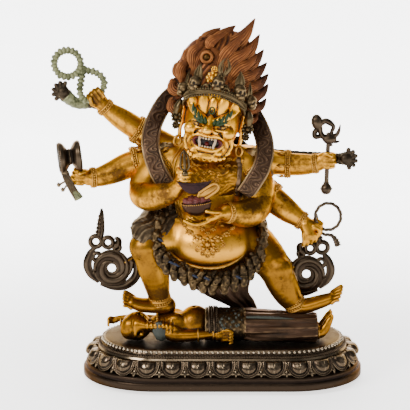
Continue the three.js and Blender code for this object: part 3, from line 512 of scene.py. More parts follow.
# name: bright skin, rubbed patches, dirt and painted shade in hollows, edges with painted highlights, and
# what differs from the common cast metal
metals = {
    # The gilt's fade darkens the body below the belly and keeps the belly bright: painted shade on the legs,
    # with more rubbed patches there.
    "gilt": ((0.46, 0.212, 0.017), (0.07, 0.031, 0.007), (0.007, 0.0035, 0.002), (0.6, 0.32, 0.038),
             {"patches": 0.62, "gloss": 0.37,
              "fade": ("Z", -1.0, 0.13, 0.025, 0.88, (0.13, 0.054, 0.0045), (-0.012, -0.022, 0.1), 0.039)}),
    "giltArm": ((0.41, 0.185, 0.014), (0.075, 0.033, 0.007), (0.006, 0.003, 0.002), (0.52, 0.27, 0.03),
                {"patches": 0.57, "gloss": 0.36}),
    # a darker gilt for the feet, the lying figure and the collar: partly their duller metal, partly painted
    # shade
    "giltInShade": ((0.19, 0.08, 0.006), (0.072, 0.031, 0.006), (0.006, 0.003, 0.002), (0.3, 0.14, 0.014),
                {"patches": 0.58, "gloss": 0.36, "rim": 0.9}),
    "giltFace": ((0.54, 0.245, 0.009), (0.24, 0.1, 0.014), (0.02, 0.009, 0.004), (0.7, 0.38, 0.06),
                 {"patches": 0.7, "metal": 0.95, "gloss": 0.36, "dirtTo": 0.36}),
    "oldGilt": ((0.125, 0.058, 0.01), (0.04, 0.02, 0.008), (0.005, 0.003, 0.002), (0.33, 0.165, 0.03),
                {"patches": 0.5, "gloss": 0.36, "dirtTo": 0.5}),
    "bronze": ((0.017, 0.011, 0.007), (0.009, 0.006, 0.004), (0.003, 0.002, 0.0015), (0.042, 0.029, 0.018),
               {"metal": 0.95, "gloss": 0.3}),
    "plinth": ((0.039, 0.026, 0.0165), (0.024, 0.0155, 0.01), (0.004, 0.0025, 0.0015), (0.105, 0.077, 0.048),
               {"metal": 0.97, "gloss": 0.2, "grain": 0.08, "rim": 0.62}),
    "foot": ((0.0135, 0.0084, 0.0058), (0.009, 0.0055, 0.004), (0.003, 0.0015, 0.001), (0.026, 0.017, 0.011),
             {"metal": 0.95, "gloss": 0.34, "grain": 0.1, "rim": 0.6}),
    "deck": ((0.026, 0.018, 0.012), (0.016, 0.011, 0.007), (0.005, 0.003, 0.002), (0.05, 0.034, 0.02),
             {"metal": 0.95, "gloss": 0.32, "grain": 0.12, "rim": 0.55}),
    # the plinth's beads: a lighter bronze and edge that paint the highlights from the light above
    "highlitBeads": ((0.17, 0.13, 0.088), (0.09, 0.066, 0.043), (0.005, 0.003, 0.002), (0.28, 0.225, 0.16),
              {"gloss": 0.22, "dirtTo": 1.1}),
    "cup": ((0.016, 0.008, 0.005), (0.009, 0.005, 0.0035), (0.004, 0.002, 0.0015), (0.026, 0.014, 0.009), {}),
    "hide": ((0.022, 0.0155, 0.0095), (0.01, 0.0075, 0.005), (0.003, 0.002, 0.0015), (0.06, 0.044, 0.026),
             {"metal": 0.92, "gloss": 0.42}),
    "fur": ((0.042, 0.028, 0.015), (0.02, 0.013, 0.008), (0.004, 0.003, 0.002), (0.12, 0.085, 0.048),
            {"metal": 0.92, "gloss": 0.4, "patches": 0.5}),
    "brass": ((0.046, 0.028, 0.012), (0.02, 0.013, 0.007), (0.003, 0.002, 0.0015), (0.19, 0.125, 0.055),
              {"metal": 0.9, "gloss": 0.34, "patches": 0.5, "dirtTo": 0.45}),
    "olive": ((0.014, 0.0095, 0.0045), (0.008, 0.0055, 0.003), (0.003, 0.002, 0.0015), (0.06, 0.041, 0.019),
              {"metal": 0.94, "gloss": 0.32, "dirtTo": 0.45}),
    "scarf": ((0.042, 0.022, 0.012), (0.02, 0.012, 0.007), (0.005, 0.003, 0.002), (0.115, 0.068, 0.034),
              {"metal": 0.8, "gloss": 0.4}),
    "copper": ((0.085, 0.025, 0.006), (0.05, 0.015, 0.005), (0.008, 0.003, 0.002), (0.2, 0.072, 0.019),
               {"metal": 0.7, "gloss": 0.46, "patches": 0.55, "dirtTo": 0.45,
                "fade": ("X", 1.0, 0.023, 0.009, 0.8, (0.008, 0.003, 0.002), (0, 0, 0), 0.01)}),
    "verdigris": ((0.115, 0.118, 0.055), (0.026, 0.03, 0.009), (0.004, 0.004, 0.002),
                  {"metal": 0.1, "gloss": 0.6, "patches": 0.56, "patchScale": 150, "dirtTo": 0.5}),
    "blade": ((0.018, 0.0085, 0.0085), (0.009, 0.005, 0.005), (0.004, 0.003, 0.003), (0.05, 0.028, 0.024),
              {"metal": 0.85, "gloss": 0.4}),
}
finishes = {key: castMetal(key + "Metal", *tones, **more) for key, (*tones, more) in metals.items()}
paints = {
    "green": ((0.006, 0.018, 0.002), (0.003, 0.005, 0.001)),
    "red": ((0.05, 0.003, 0.002), (0.015, 0.002, 0.002)),
    "white": ((0.33, 0.24, 0.15), (0.11, 0.06, 0.03)),
    "black": ((0.008, 0.004, 0.003), (0.004, 0.002, 0.002)),
    "blue": ((0.005, 0.008, 0.02), (0.003, 0.004, 0.008)),
    "flesh": ((0.062, 0.009, 0.006), (0.012, 0.004, 0.003)),
    "greyGreen": ((0.03, 0.034, 0.027), (0.007, 0.008, 0.007)),
}
finishes.update({key: paint(key + "Paint", *tones) for key, tones in paints.items()})

# The library slot that a finish belongs to; every other one is brown bronze.
slots = {"copper": "red_copper", "verdigris": "verdigris_bronze", **dict.fromkeys(paints, "painted_detail"),
         **dict.fromkeys(("gilt", "giltArm", "giltInShade", "giltFace", "oldGilt"), "gilt_copper")}


# Geometry Nodes: a tree that lays copies of a shape along a path, each turned to follow it.
class PathTree(NodeMaker):
    def __init__(self, name, inputs):
        self.tree = bpy.data.node_groups.new(name, "GeometryNodeTree")
        face = self.tree.interface
        face.new_socket("Geometry", in_out="INPUT", socket_type="NodeSocketGeometry")
        inputs = {**inputs, "Count": "Int", "Seed": "Int", "Finish": "Material"}
        self.named = {key: face.new_socket(key, in_out="INPUT", socket_type="NodeSocket" + kind).identifier
                      for key, kind in inputs.items()}
        face.new_socket("Geometry", in_out="OUTPUT", socket_type="NodeSocketGeometry")
        self.start = self.tree.nodes.new("NodeGroupInput")
        self.heading = self.node("GeometryNodeInputTangent")

    def given(self, key):
        return Pin(self, self.start.outputs[key])

    def layOut(self, shape, turn, size):
        points = self.node("GeometryNodeResampleCurve", {"Curve": self.given("Geometry"),
                                                         "Count": self.given("Count")})
        laid = self.node("GeometryNodeInstanceOnPoints",
                         {"Points": points, "Instance": shape, "Rotation": turn,
                                                          "Scale": size})
        solid = self.node("GeometryNodeRealizeInstances", {"Geometry": laid})
        last = self.node("GeometryNodeSetMaterial", {"Geometry": solid, "Material": self.given("Finish")})
        self.tree.links.new(last.socket, self.tree.nodes.new("NodeGroupOutput").inputs[0])
        return self

    # Runs the tree on a path and returns the plain mesh as (points, quads, tris), in metres.
    def grow(self, path, values, closed=False):
        curve = bpy.data.curves.new("path", "CURVE")
        curve.dimensions = "3D"
        curve.twist_mode = "Z_UP"
        spline = curve.splines.new("POLY")
        spline.points.add(len(path) - 1)
        spline.points.foreach_set("co", np.column_stack([path, np.ones(len(path))]).ravel())
        spline.use_cyclic_u = closed
        holder = placed("path", curve)
        modifier = holder.modifiers.new("grow", "NODES")
        modifier.node_group = self.tree
        for key, value in values.items():
            modifier[self.named[key]] = value
        bpy.context.view_layer.update()
        graph = bpy.context.evaluated_depsgraph_get()
        mesh = bpy.data.meshes.new_from_object(holder.evaluated_get(graph), depsgraph=graph)
        holder.modifiers.clear()
        bpy.data.objects.remove(holder)
        bpy.data.curves.remove(curve)
        co = readAll(mesh.vertices, "co", 3).astype(float)
        faces = [list(p.vertices) for p in mesh.polygons]
        bpy.data.meshes.remove(mesh)
        return co, *(np.array([f for f in faces if len(f) == n], int).reshape(-1, n) for n in (4, 3))


# Beads, stretched by three shares.
def beadTree():
    tree = PathTree("stringOfBeads", {"Radius": "Float", "Stretch": "Vector", "Unevenness": "Float"})
    bead = tree.node("GeometryNodeMeshUVSphere", {"Segments": 7, "Rings": 5, "Radius": tree.given("Radius")})
    turn = tree.node("FunctionNodeAlignRotationToVector", {"Vector": tree.heading}, axis="X")
    wobble = tree.node("FunctionNodeRandomValue", {2: -1.0, 3: 1.0, "Seed": tree.given("Seed")}, 1,
                       data_type="FLOAT")
    change = tree.math("MULTIPLY_ADD", wobble, tree.given("Unevenness"), 1.0)
    size = tree.node("ShaderNodeVectorMath", {0: tree.given("Stretch"), "Scale": change}, operation="SCALE")
    return tree.layOut(bead, turn, size)


# Copies of one object, standing upright and facing out from the path.
def copyTree():
    tree = PathTree("copiesOnPath", {"Shape": "Object", "Size": "Float", "Sway": "Float"})
    shape = tree.node("GeometryNodeObjectInfo", {"Object": tree.given("Shape")}, "Geometry")
    turn = tree.node("FunctionNodeAlignRotationToVector", {"Vector": tree.heading}, axis="X", pivot_axis="Z")
    least, most = (tree.node("ShaderNodeVectorMath", {0: (end, end, end), "Scale": tree.given("Sway")},
                             operation="SCALE") for end in (-1.0, 1.0))
    sway = tree.node("FunctionNodeRandomValue", {0: least, 1: most, "Seed": tree.given("Seed")},
                     data_type="FLOAT_VECTOR")
    swayed = tree.node("FunctionNodeRotateRotation", {"Rotation": turn, "Rotate By": sway},
                       rotation_space="LOCAL")
    return tree.layOut(shape, swayed, tree.given("Size"))


beadMaker, copyMaker = beadTree(), copyTree()


def copies(name, shape, path, count, size, sway, seed, finish, closed=False):
    pattern = placed(name, meshOf(name, shape))
    values = {"Count": count, "Shape": pattern, "Size": size, "Sway": sway, "Seed": seed,
              "Finish": finishes[finish]}
    laid = copyMaker.grow(path, values, closed)
    bpy.data.objects.remove(pattern)
    return laid


# Beads in the figure's own shares: pitch and radius are shares too.
def beads(path, pitch, radius, stretch=(1, 1, 1), uneven=0.0, closed=False, seed=1):
    path = np.asarray(path, float)
    ends = np.concatenate([path, path[:1]]) if closed else path
    length = np.linalg.norm(np.diff(ends, axis=0), axis=1).sum()
    values = {"Count": max(2, round(length / pitch)), "Radius": radius * unit, "Stretch": stretch,
              "Unevenness": uneven, "Seed": seed, "Finish": finishes["gilt"]}
    co, quads, tris = beadMaker.grow(path * unit, values, closed)
    return co / unit, quads, tris


# The photograph's camera: a long lens a little above the figure.
camera = {
    "target": (-0.01408, 0.0, 0.1369),
    "distance": 1.3,
    "elevation": math.radians(11),
    "lens": 142.68,
}


def setCamera():
    lens = bpy.data.cameras.new("camera")
    lens.lens = camera["lens"]
    lens.sensor_width = 36
    lens.clip_end = 20
    eye = placed("camera", lens)
    rise = camera["elevation"]
    away = Vector((0, -math.cos(rise), math.sin(rise))) * camera["distance"]
    eye.location = Vector(camera["target"]) + away
    eye.rotation_euler = (math.pi / 2 - rise, 0, 0)
    bpy.context.scene.camera = eye


studio = {
    "floor": 1.6,
    "floorColour": (0.88, 0.88, 0.88),
    # a painted shadow: the floor glows less round the object, which also dims its reflection in the metal
    "shadowedGlow": (0.42, 0.41, 0.40),  # the floor gives less light beside the object
    "floorGlow": 4.35,
    "world": (0.93, 0.95, 1.0),
    "worldStrength": 0.32,
    # name: place, aim, size, power, colour
    "panels": {
        "keyPanel": ((-0.85, -0.7, 0.75), (0, 0, 0.15), 0.4, 18.0, (1.0, 0.98, 0.95)),
        "fillPanel": ((0.95, -0.6, 0.45), (0, 0, 0.14), 0.7, 1.5, (0.95, 0.97, 1.0)),
        "frontPanel": ((-0.25, -1.1, 1.05), (0, 0, 0.17), 0.5, 7.0, (1.0, 0.98, 0.95)),
        "topPanel": ((-0.1, 0.1, 1.2), (0, 0, 0.1), 0.8, 6.0, (1.0, 1.0, 1.0)),
    },
}


def setStudio():
    side = studio["floor"]
    sweep = smoothRun([[0, -side, 0], [0, side * 0.5, 0], [0, side * 0.9, 0.05], [0, side * 1.15, 0.4],
                       [0, side * 1.2, 1.6]], 40)
    i, n = np.arange(len(sweep) - 1), len(sweep)
    quads = np.stack([i, i + n, i + n + 1, i + 1], -1)
    corners = np.concatenate([sweep + (-side * 1.6, 0, 0), sweep + (side * 1.6, 0, 0)])
    floor = placed("floor", meshOf("floor", (corners, quads, noTris)))
    maker = Maker("paleFloor")
    # the floor's glow drops near the object: a painted shadow round it
    far = maker.node("ShaderNodeVectorMath", {0: maker.place}, "Value", operation="LENGTH").between(0.1, 0.7)
    glowWithShadow = maker.blend(far, studio["shadowedGlow"], (1.0, 1.0, 1.0))
    values = {"Base Color": studio["floorColour"], "Roughness": 0.65, "Emission Color": glowWithShadow,
              "Emission Strength": studio["floorGlow"]}
    floor.data.materials.append(maker.finish(values))
    world = bpy.data.worlds.new("studio")
    world.use_nodes = True
    sky = world.node_tree.nodes["Background"].inputs
    sky[0].default_value = (*studio["world"], 1)
    sky[1].default_value = studio["worldStrength"]
    bpy.context.scene.world = world
    for name, (spot, aim, size, power, colour) in studio["panels"].items():
        lamp = bpy.data.lights.new(name, "AREA")
        lamp.shape = "SQUARE"
        lamp.size, lamp.energy, lamp.color = size, power, colour
        panel = placed(name, lamp)
        panel.location = spot
        panel.rotation_euler = (Vector(aim) - Vector(spot)).to_track_quat("-Z", "Y").to_euler()


setCamera()
setStudio()
print("stage: camera, floor and lights are set")


# The striding body: belly, chest, thighs and shins, and the upper arms as far as their armlets.
body = {
    "grain": 0.5,
    "trunk": [
        [20.4, -3.2, -1.0, 9.5, 7.2], [24, -4.1, -2.4, 13.0, 10.4], [28.5, -4.3, -3.6, 14.1, 12.3],
        [33, -4.4, -3.4, 13.9, 12.3], [37, -4.6, -2.6, 12.7, 10.8], [41, -4.7, -1.4, 11.6, 9.0],
        [46, -4.7, -0.8, 11.9, 8.6], [51, -4.5, -0.2, 12.2, 8.2], [55.5, -4.0, 0.5, 10.6, 7.2],
        [58.6, -3.6, 0.4, 7.0, 5.8], [62.5, -3.2, -0.4, 5.6, 5.2],
    ],
    "forms": [
        # right leg
        (2.2, [[-9, 1.6, 33, 9], [-15, -2.6, 33.2, 7.8], [-20, -6.8, 32.4, 6.3], [-24.2, -10, 30.6, 4.7]]),
        (1.0, [[-23.2, -10, 30.4, 4.8], [-22.2, -9.6, 26, 4.7], [-21.3, -8.2, 22.4, 4.65],
               [-20.3, -6.6, 17, 3.85], [-19.6, -5.4, 12.4, 2.95]]),
        # left leg
        (2.2, [[3, 2, 31.5, 8.6], [8.4, -0.4, 29.6, 7.6], [13.4, -3.6, 26.2, 6.1], [16.8, -6, 22.6, 5.0]]),
        (1.0, [[16.6, -6, 22.4, 5.0], [18.3, -5.9, 18.6, 4.9], [20.2, -5.4, 14.6, 4.2], [22, -4.8, 11.6, 3.1],
               [23.2, -4.2, 9.8, 2.7]]),
        # shoulders: the right arms from the upper to the lower, then the left ones
        (2.0, [[-9, 4.0, 54.5, 5.0], [-13, 4.5, 57, 4.4], [-19.5, 5, 60.6, 4.1], [-25, 4.3, 64.2, 3.7]]),
        (2.0, [[-9, 3.2, 54, 5.4], [-14, 3.2, 55.5, 4.9], [-20, 2.6, 55.7, 4.6], [-27, 1.1, 55, 4.3]]),
        (2.0, [[-10, 0.6, 54, 6], [-15.5, -0.6, 55.4, 5.3], [-20.6, -1.2, 53.4, 5.0], [-24, -3, 49.8, 4.7],
               [-24.7, -5.6, 46.8, 4.3]]),
        (2.0, [[4, 3.6, 55, 5], [9, 4.2, 55.6, 4.5], [14, 4.4, 54.8, 4.0], [19.6, 4, 54.2, 3.6]]),
        (2.0, [[3, 2, 53.5, 5.4], [7.5, 2, 51, 4.8], [11.2, 2, 48.4, 4.4], [15, 1, 44.2, 4.1]]),
        (2.0, [[3, 0, 54.5, 6], [7.4, -0.8, 54.6, 5.4], [10.4, -2, 50.6, 4.9], [11.2, -3.6, 46.6, 4.7],
               [10.2, -6.4, 42.8, 4.3]]),
        (1.6, (-9.6, -5.2, 51.6), (5.6, 3.6, 4.6)),  # breasts
        (1.6, (1.6, -5.2, 51.2), (5.6, 3.6, 4.6)),
        (1.4, (-24, -12.4, 30.4), (3.2, 2.4, 3.2)),  # kneecaps
        (1.4, (18.6, -9.4, 23.2), (2.8, 2.2, 3.2)),
        (1.4, (-21.6, -5.2, 24), (3.4, 3.4, 5.4), (10, 0, 0)),  # calves
        (1.4, (17.6, -3.4, 19.2), (3.4, 3.4, 5.0)),
        (-0.9, (-4.3, -16.4, 31.6), (0.9, 1.2, 0.7)),  # navel
        (-1.0, [[-15.1, -6.6, 40.4, 0.35], [-10.5, -10.6, 38.6, 0.4], [-6, -12.4, 38.2, 0.3]]),  # belly folds
        (-1.0, [[6.1, -6.6, 40.4, 0.35], [1.5, -10.6, 38.6, 0.4], [-3, -12.4, 38.2, 0.3]]),
        (-0.6, (-25.4, -13.2, 27.6), 0.35), (-0.6, (-22.2, -13.6, 27.2), 0.35),
        (-0.6, (18, -10.8, 20.6), 0.3),
    ],
}
bodyClay = Clay((-32, -20, 6.5), (30, 13.5, 68), body["grain"])
bodyClay.press(trunk(body["trunk"]), 0.6)
bodyClay.sculpt(body["forms"])
addPiece("body", bodyClay.skin(), "gilt", scale=0.0012, rounds=10)
print("stage: body")


# Forearms with their hands, each begun inside its armlet. A gripping hand closes round a bar.
forearms = {
    "grain": 0.28,
    # path of the arm, then the place, bar and reach of a gripping hand
    "arms": {
        "upperRight": ([[-24, 4.4, 63.4, 3.5], [-27.6, 3.9, 65.8, 3.6], [-31.4, 3.3, 68.4, 3.4],
                        [-35, 2.5, 71, 2.7], [-37.6, 2.0, 73.4, 2.2]], [-39, 1.8, 75.4], [-0.8, -0.1,
                        -0.6], [-0.6, 0, 0.8]),
        "middleRight": ([[-26, 1.4, 55.2, 4.2], [-30, 0.5, 54, 4.1], [-34.4, -0.8, 52.2, 3.6],
                         [-38.4, -1.9, 51, 3.0], [-41.4, -2.6, 50.8, 2.4]], [-44.2, -3.3, 51.6], [0.3, -0.2,
                         1], [-1, -0.3, 0.1]),
        "lowerRight": ([[-24.9, -4.4, 48.2, 4.0], [-24.6, -7, 46.4, 4.2], [-22.2, -10.6, 46.2, 4.2],
                        [-18.6, -13.6, 47.4, 3.7], [-15.4, -15.8, 48.8, 2.9], [-13, -17.4, 51.4, 2.2]],
                       [-11.9, -18.3, 53.8], [0.1, 0, 1], [0.4, -0.9, 0]),
        "upperLeft": ([[18.6, 4.1, 54.3, 3.6], [22, 3.7, 54, 3.5], [25.6, 3.0, 54.1, 3.3],
                       [28.6, 2.3, 54.4, 2.8], [30.6, 1.9, 54.9, 2.3]], [32.6, 1.4, 55.7], [0, 0, 1], [1, 0,
                       0.1]),
        "middleLeft": ([[14.2, 1.3, 45, 4.0], [17, 0.5, 42.6, 4.1], [20.2, -0.8, 40.2, 3.7],
                        [23.4, -1.5, 38, 2.9], [25.6, -1.9, 36.4, 2.3]], [28.4, -2.6, 34.6], [0.2, 1,
                        0.2], [0.75, 0, -0.6]),
        "lowerLeft": ([[11.2, -4.6, 44.8, 4.4], [10.2, -7.4, 42, 4.4], [7, -10.6, 41.2, 4.3],
                       [3.4, -13.4, 41.8, 3.4], [0.6, -15.2, 42.4, 2.6]], [-11.6, -22.6, 44.6], None, None),
    },
}


def grippingHand(clay, at, bar, reach):
    at, bar, reach = np.array(at, float), np.array(bar, float) / np.linalg.norm(bar), np.array(reach, float)
    reach -= bar * (reach @ bar)
    reach /= np.linalg.norm(reach)
    out = np.cross(bar, reach)
    out *= -np.sign(out[1]) or 1  # towards the viewer
    spot = lambda b, r, o: at + bar * b + reach * r + out * o
    clay.press(ball(spot(0, -1.4, -0.3), 2.3), 0.9)
    for k, long in zip((-1.5, -0.5, 0.5, 1.5), (0.86, 1.0, 0.98, 0.88)):
        b = k * 1.25
        finger = [[*spot(b, -0.9, 1.5), 0.72], [*spot(b, 1.2 * long, 1.75), 0.7],
                  [*spot(b, 2.3 * long, 0.5), 0.66], [*spot(b, 1.7 * long, -1.1), 0.6],
                  [*spot(b, 0.4, -1.5), 0.55]]
        clay.press(limb(finger, 10), 0.25)
    thumb = [[*spot(1.2, -2.2, 0.6), 0.9], [*spot(2.3, -0.6, 1.9), 0.75], [*spot(1.7, 1.0, 2.5), 0.6]]
    clay.press(limb(thumb, 6), 0.3)


def openHand(clay):
    clay.sculpt([(0.8, [[1.6, -15, 42.6, 2.0], [-1.6, -16.6, 42.2, 2.3], [-4, -17.8, 41.4, 2.2]], None,
                  (2, 0.72))])
    for k, (tip, long) in enumerate(zip((-0.4, 0.5, 1.4, 2.2), (1.0, 1.08, 1.0, 0.86))):
        y = -19.4 + k * 1.35
        finger = [[-3.4, y + 0.5, 41.4, 0.75], [-5.6 * long, y - 0.3, 40.2, 0.7],
                  [-8.4 * long, y - 0.6, 39.6, 0.62], [-10.8 * long, y - 0.4, 40.4 + tip * 0.2, 0.5]]
        clay.press(limb(finger, 9), 0.25)
    clay.sculpt([(0.35, [[-1, -17.4, 43, 0.95], [-2.6, -20.2, 43.4, 0.8], [-5, -22.2, 44.2, 0.6]], 6)])


for name, (path, at, bar, reach) in forearms["arms"].items():
    spots = np.array([*(station[:3] for station in path), at], float)
    clay = Clay(spots.min(0) - 5.2, spots.max(0) + 5.2, forearms["grain"])
    clay.press(limb(path, 14), 0.4)
    if name == "middleLeft":  # the palm hangs below the fist, its fingers down
        clay.press(limb([[26, -3.2, 36, 2.3], [27.2, -4.0, 33, 2.2]]), 0.6)
        for k in range(4):
            x, y = 25.2 + k * 1.2, k * 0.2
            clay.press(limb([[x, y - 4.6, 33.4, 0.8], [x + 0.1, y - 5.2, 31.4 + 0.3 * k, 0.72],
                             [x - 0.1, y - 4.8, 29.6 + 0.5 * k, 0.5]], 6), 0.2)
    if bar:
        grippingHand(clay, at, bar, reach)
    else:
        openHand(clay)
    addPiece(name + "Forearm", clay.skin(), "giltArm")

# Feet from the anklets down, the toes fanned and turned up.
feet = {
    "grain": 0.28,
    "right": {
        "ankle": [[-19.7, -5.4, 13.2, 3.0], [-19.0, -4.8, 11.4, 3.0], [-17.6, -4.5, 10.6, 2.5]],
        "sole": [[-17.2, -4.4, 10.6, 2.3], [-21, -5, 10.7, 2.4], [-25, -6, 11.1, 2.2],
                 [-28.2, -6.8, 12.2, 1.9]],
        "toes": ([-28.8, -7, 12.2], [-32.0, -7.4, 14.0]),
    },
    "left": {
        "ankle": [[23.2, -4.2, 10.8, 2.8], [23.2, -3.9, 9.8, 2.7], [22.6, -3.6, 9.6, 2.4]],
        "sole": [[22.4, -3.6, 9.8, 2.2], [26.4, -4.4, 10.5, 2.3], [30.4, -5.2, 11.9, 2.1],
                 [33.6, -5.9, 13.2, 1.8]],
        "toes": ([34.2, -6.1, 13.6], [37.2, -6.6, 15.6]),
    },
}
for side in ("right", "left"):
    foot = feet[side]
    spots = np.array(foot["sole"])[:, :3]
    clay = Clay(spots.min(0) - 5, spots.max(0) + 5.4, feet["grain"])
    clay.sculpt([(0.4, foot["ankle"], 6), (1.2, foot["sole"], 9, (1, 1.5)),
                 (0.8, tuple(foot["sole"][0][:3]), (2.3, 2.6, 2.3))])
    root, tip = np.array(foot["toes"])
    lean = (tip - root) / np.linalg.norm(tip - root)
    for k, (size, long) in enumerate(zip((0.62, 0.66, 0.7, 0.74, 0.9), (0.72, 0.86, 1.0, 1.05, 1.0))):
        # fanned so that each shows from the front
        across = np.array([0.15 * k, -2.9 + k * 1.3, -0.95 + k * 0.52])
        base = root + across + lean * -0.4
        end = root + across * 1.15 + lean * (2.6 * long)
        clay.press(limb([[*base, size], [*(base + end) / 2 + (0, 0, 0.25), size * 0.8], [*end, size * 0.95]],
                        5), 0.25)
    addPiece(side + "Foot", clay.skin(), "giltInShade")
print("stage: forearms, hands and feet")


# The head, modelled upright in its own frame and then leaned. Its face looks along -Y.
head = {
    "centre": (-3.3, -4.4, 68),
    "lean": (0.06, 0.16, -0.1),  # nod, tilt and turn, radians
    "grain": 0.22,
    "skull": [
        (1.6, (0, 0.8, 2.2), (8.5, 8.3, 8.8)), (1.6, (0, -2.4, -0.6), (8.0, 6.6, 8.6)),
        (1.6, (0, -3.4, -6.0), (6.5, 5.7, 5.0)), (1.6, (0, -7.2, -8.7), (3.4, 2.4, 1.8)),
        (1.2, [[0, 1.5, -6, 5.2], [0, 3, -12.2, 5.2]]),  # neck
    ],
    "sides": [
        (0.3, (2.9, -7.6, 7.5), (1.75, 1.5, 4.2), (0, 8, 0)),  # swellings of the forehead
        (0.3, (6.0, -5.9, 7.2), (1.6, 1.5, 3.6), (0, 24, 0)),
        # brow
        (0.6, [[0.9, -9.1, 2.6, 0.9], [3.4, -9.0, 3.8, 1.25], [5.8, -7.4, 5.2, 1.2], [7.4, -5.2, 6.8, 0.8]],
         12),
        (-0.6, (3.7, -9.2, 1.4), (2.2, 1.7, 1.15), (0, -10, 20)),  # socket, eyeball and lids
        (0.2, (3.6, -7.5, 1.2), (1.75, 1.5, 1.3)),
        (0.3, [[1.6, -8.7, 0.9, 0.3], [3.4, -9.1, 2.35, 0.42], [5.6, -7.4, 2.1, 0.3]], 8),
        (0.3, [[1.6, -8.7, 0.8, 0.3], [3.4, -8.9, 0.05, 0.45], [5.6, -7.4, 1.5, 0.3]], 8),
        (0.3, (5.6, -7.2, -0.7), (2.3, 2.3, 2.1)),  # cheek
        (0.2, (2.1, -9.7, -0.3), (1.15, 1.2, 0.95)),  # wing of the nose
        (0.5, [[0.6, -9.6, -1.9, 0.6], [3.2, -8.9, -1.8, 0.7], [5.0, -7.4, -2.9, 0.75],
               [5.9, -6.2, -5.0, 0.6]], 10),
        (0.5, [[6.7, -4.6, -2.6, 0.5], [7.2, -4.4, -5, 0.55], [6.2, -5.2, -7.6, 0.5]], 8),
        (0.5, (9.0, -0.6, 1.6), (0.8, 1.9, 3.1), (0, 6, 20)),  # ear
        (0.4, [[9.3, -1.0, -0.8, 0.7], [9.5, -1.2, -3.2, 0.6], [9.3, -1.4, -5.0, 0.65]], 6),
        (-0.5, (9.9, -1.4, 2.0), (0.6, 1.1, 1.9), (0, 0, 20)),
        (0.3, [[9.4, -1.6, 4.2, 0.4], [9.9, -0.2, 3.9, 0.42], [9.9, 0.6, 1.6, 0.4]], 6),
    ],
    "middle": [
        (0.5, [[0, -8.7, 3.6, 0.8], [0, -9.6, 2.2, 0.95], [0, -10.5, 0.6, 1.35]], 6),  # nose
        (0.1, (-0.5, -11.8, 0.35), (1.6, 1.8, 1.5)),
        # the creases that set off the nose from the cheeks
        (-0.15, [[-1.5, -10.6, 1.9, 0.35], [-2.3, -10.7, 0.7, 0.45], [-3.3, -9.5, -0.3, 0.5],
                 [-4.4, -8.3, -2.2, 0.4]], 10),
        (-0.15, [[1.1, -10.6, 1.9, 0.35], [1.9, -10.7, 0.7, 0.45], [3.3, -9.5, -0.3, 0.5],
                 [4.4, -8.3, -2.2, 0.4]], 10),
        (-0.25, (-1.35, -10.4, -0.9), (0.5, 0.6, 0.4)), (0.6, (-3.4, -8.0, -7.0), (1.6, 1.2, 1.2)),
        (-0.25, (1.35, -10.4, -0.9), (0.5, 0.6, 0.4)), (0.6, (3.4, -8.0, -7.0), (1.6, 1.2, 1.2)),
        (-0.35, (0, -8.9, -4.1), (4.7, 3.2, 1.7)),  # open mouth and lower lip
        (0.3, [[-4.5, -7.3, -5.0, 0.5], [-2.6, -8.9, -6.1, 0.7], [0, -9.4, -6.3, 0.75],
               [2.6, -8.9, -6.1, 0.7], [4.5, -7.3, -5.0, 0.5]], 12),
        # under the upright third eye
        (0.4, (0, -8.0, 7.4), (1.4, 1.4, 3.0)), (0.3, (0, -8.4, 6.0), (1.0, 0.9, 1.2)),
    ],
}
nod, tilt, turnAside = head["lean"]
headPlace = (Matrix.Translation(Vector(head["centre"])) @ Matrix.Rotation(turnAside, 4, "Z")
             @ Matrix.Rotation(tilt, 4, "Y") @ Matrix.Rotation(nod, 4, "X"))


def makeHead():
    clay = Clay((-11.4, -13.6, -12.4), (11.4, 10.2, 12), head["grain"])
    clay.sculpt(head["skull"])
    for side in (-1, 1):
        clay.sculpt(head["sides"], side)
    clay.sculpt(head["middle"])
    for k in range(9):  # curls of the beard
        turn = math.radians(-64 + k * 16)
        x, y, z = math.sin(turn) * 6.0, -3.4 - math.cos(turn) * 5.2, -8.3 - math.cos(turn)
        clay.sculpt([(0.5, (x, y, z), 0.75), (-0.3, (x * 1.09, y - 0.75, z), 0.25)])
    for side in (-1, 1):
        clay.sculpt([(0.25, (7.2 - k * 0.25, -4.0 - k * 0.35, -4.2 - k * 1.5), 0.65) for k in range(3)], side)
    addPiece("head", clay.skin(), "giltFace", scale=0.00042, rounds=8, place=headPlace)


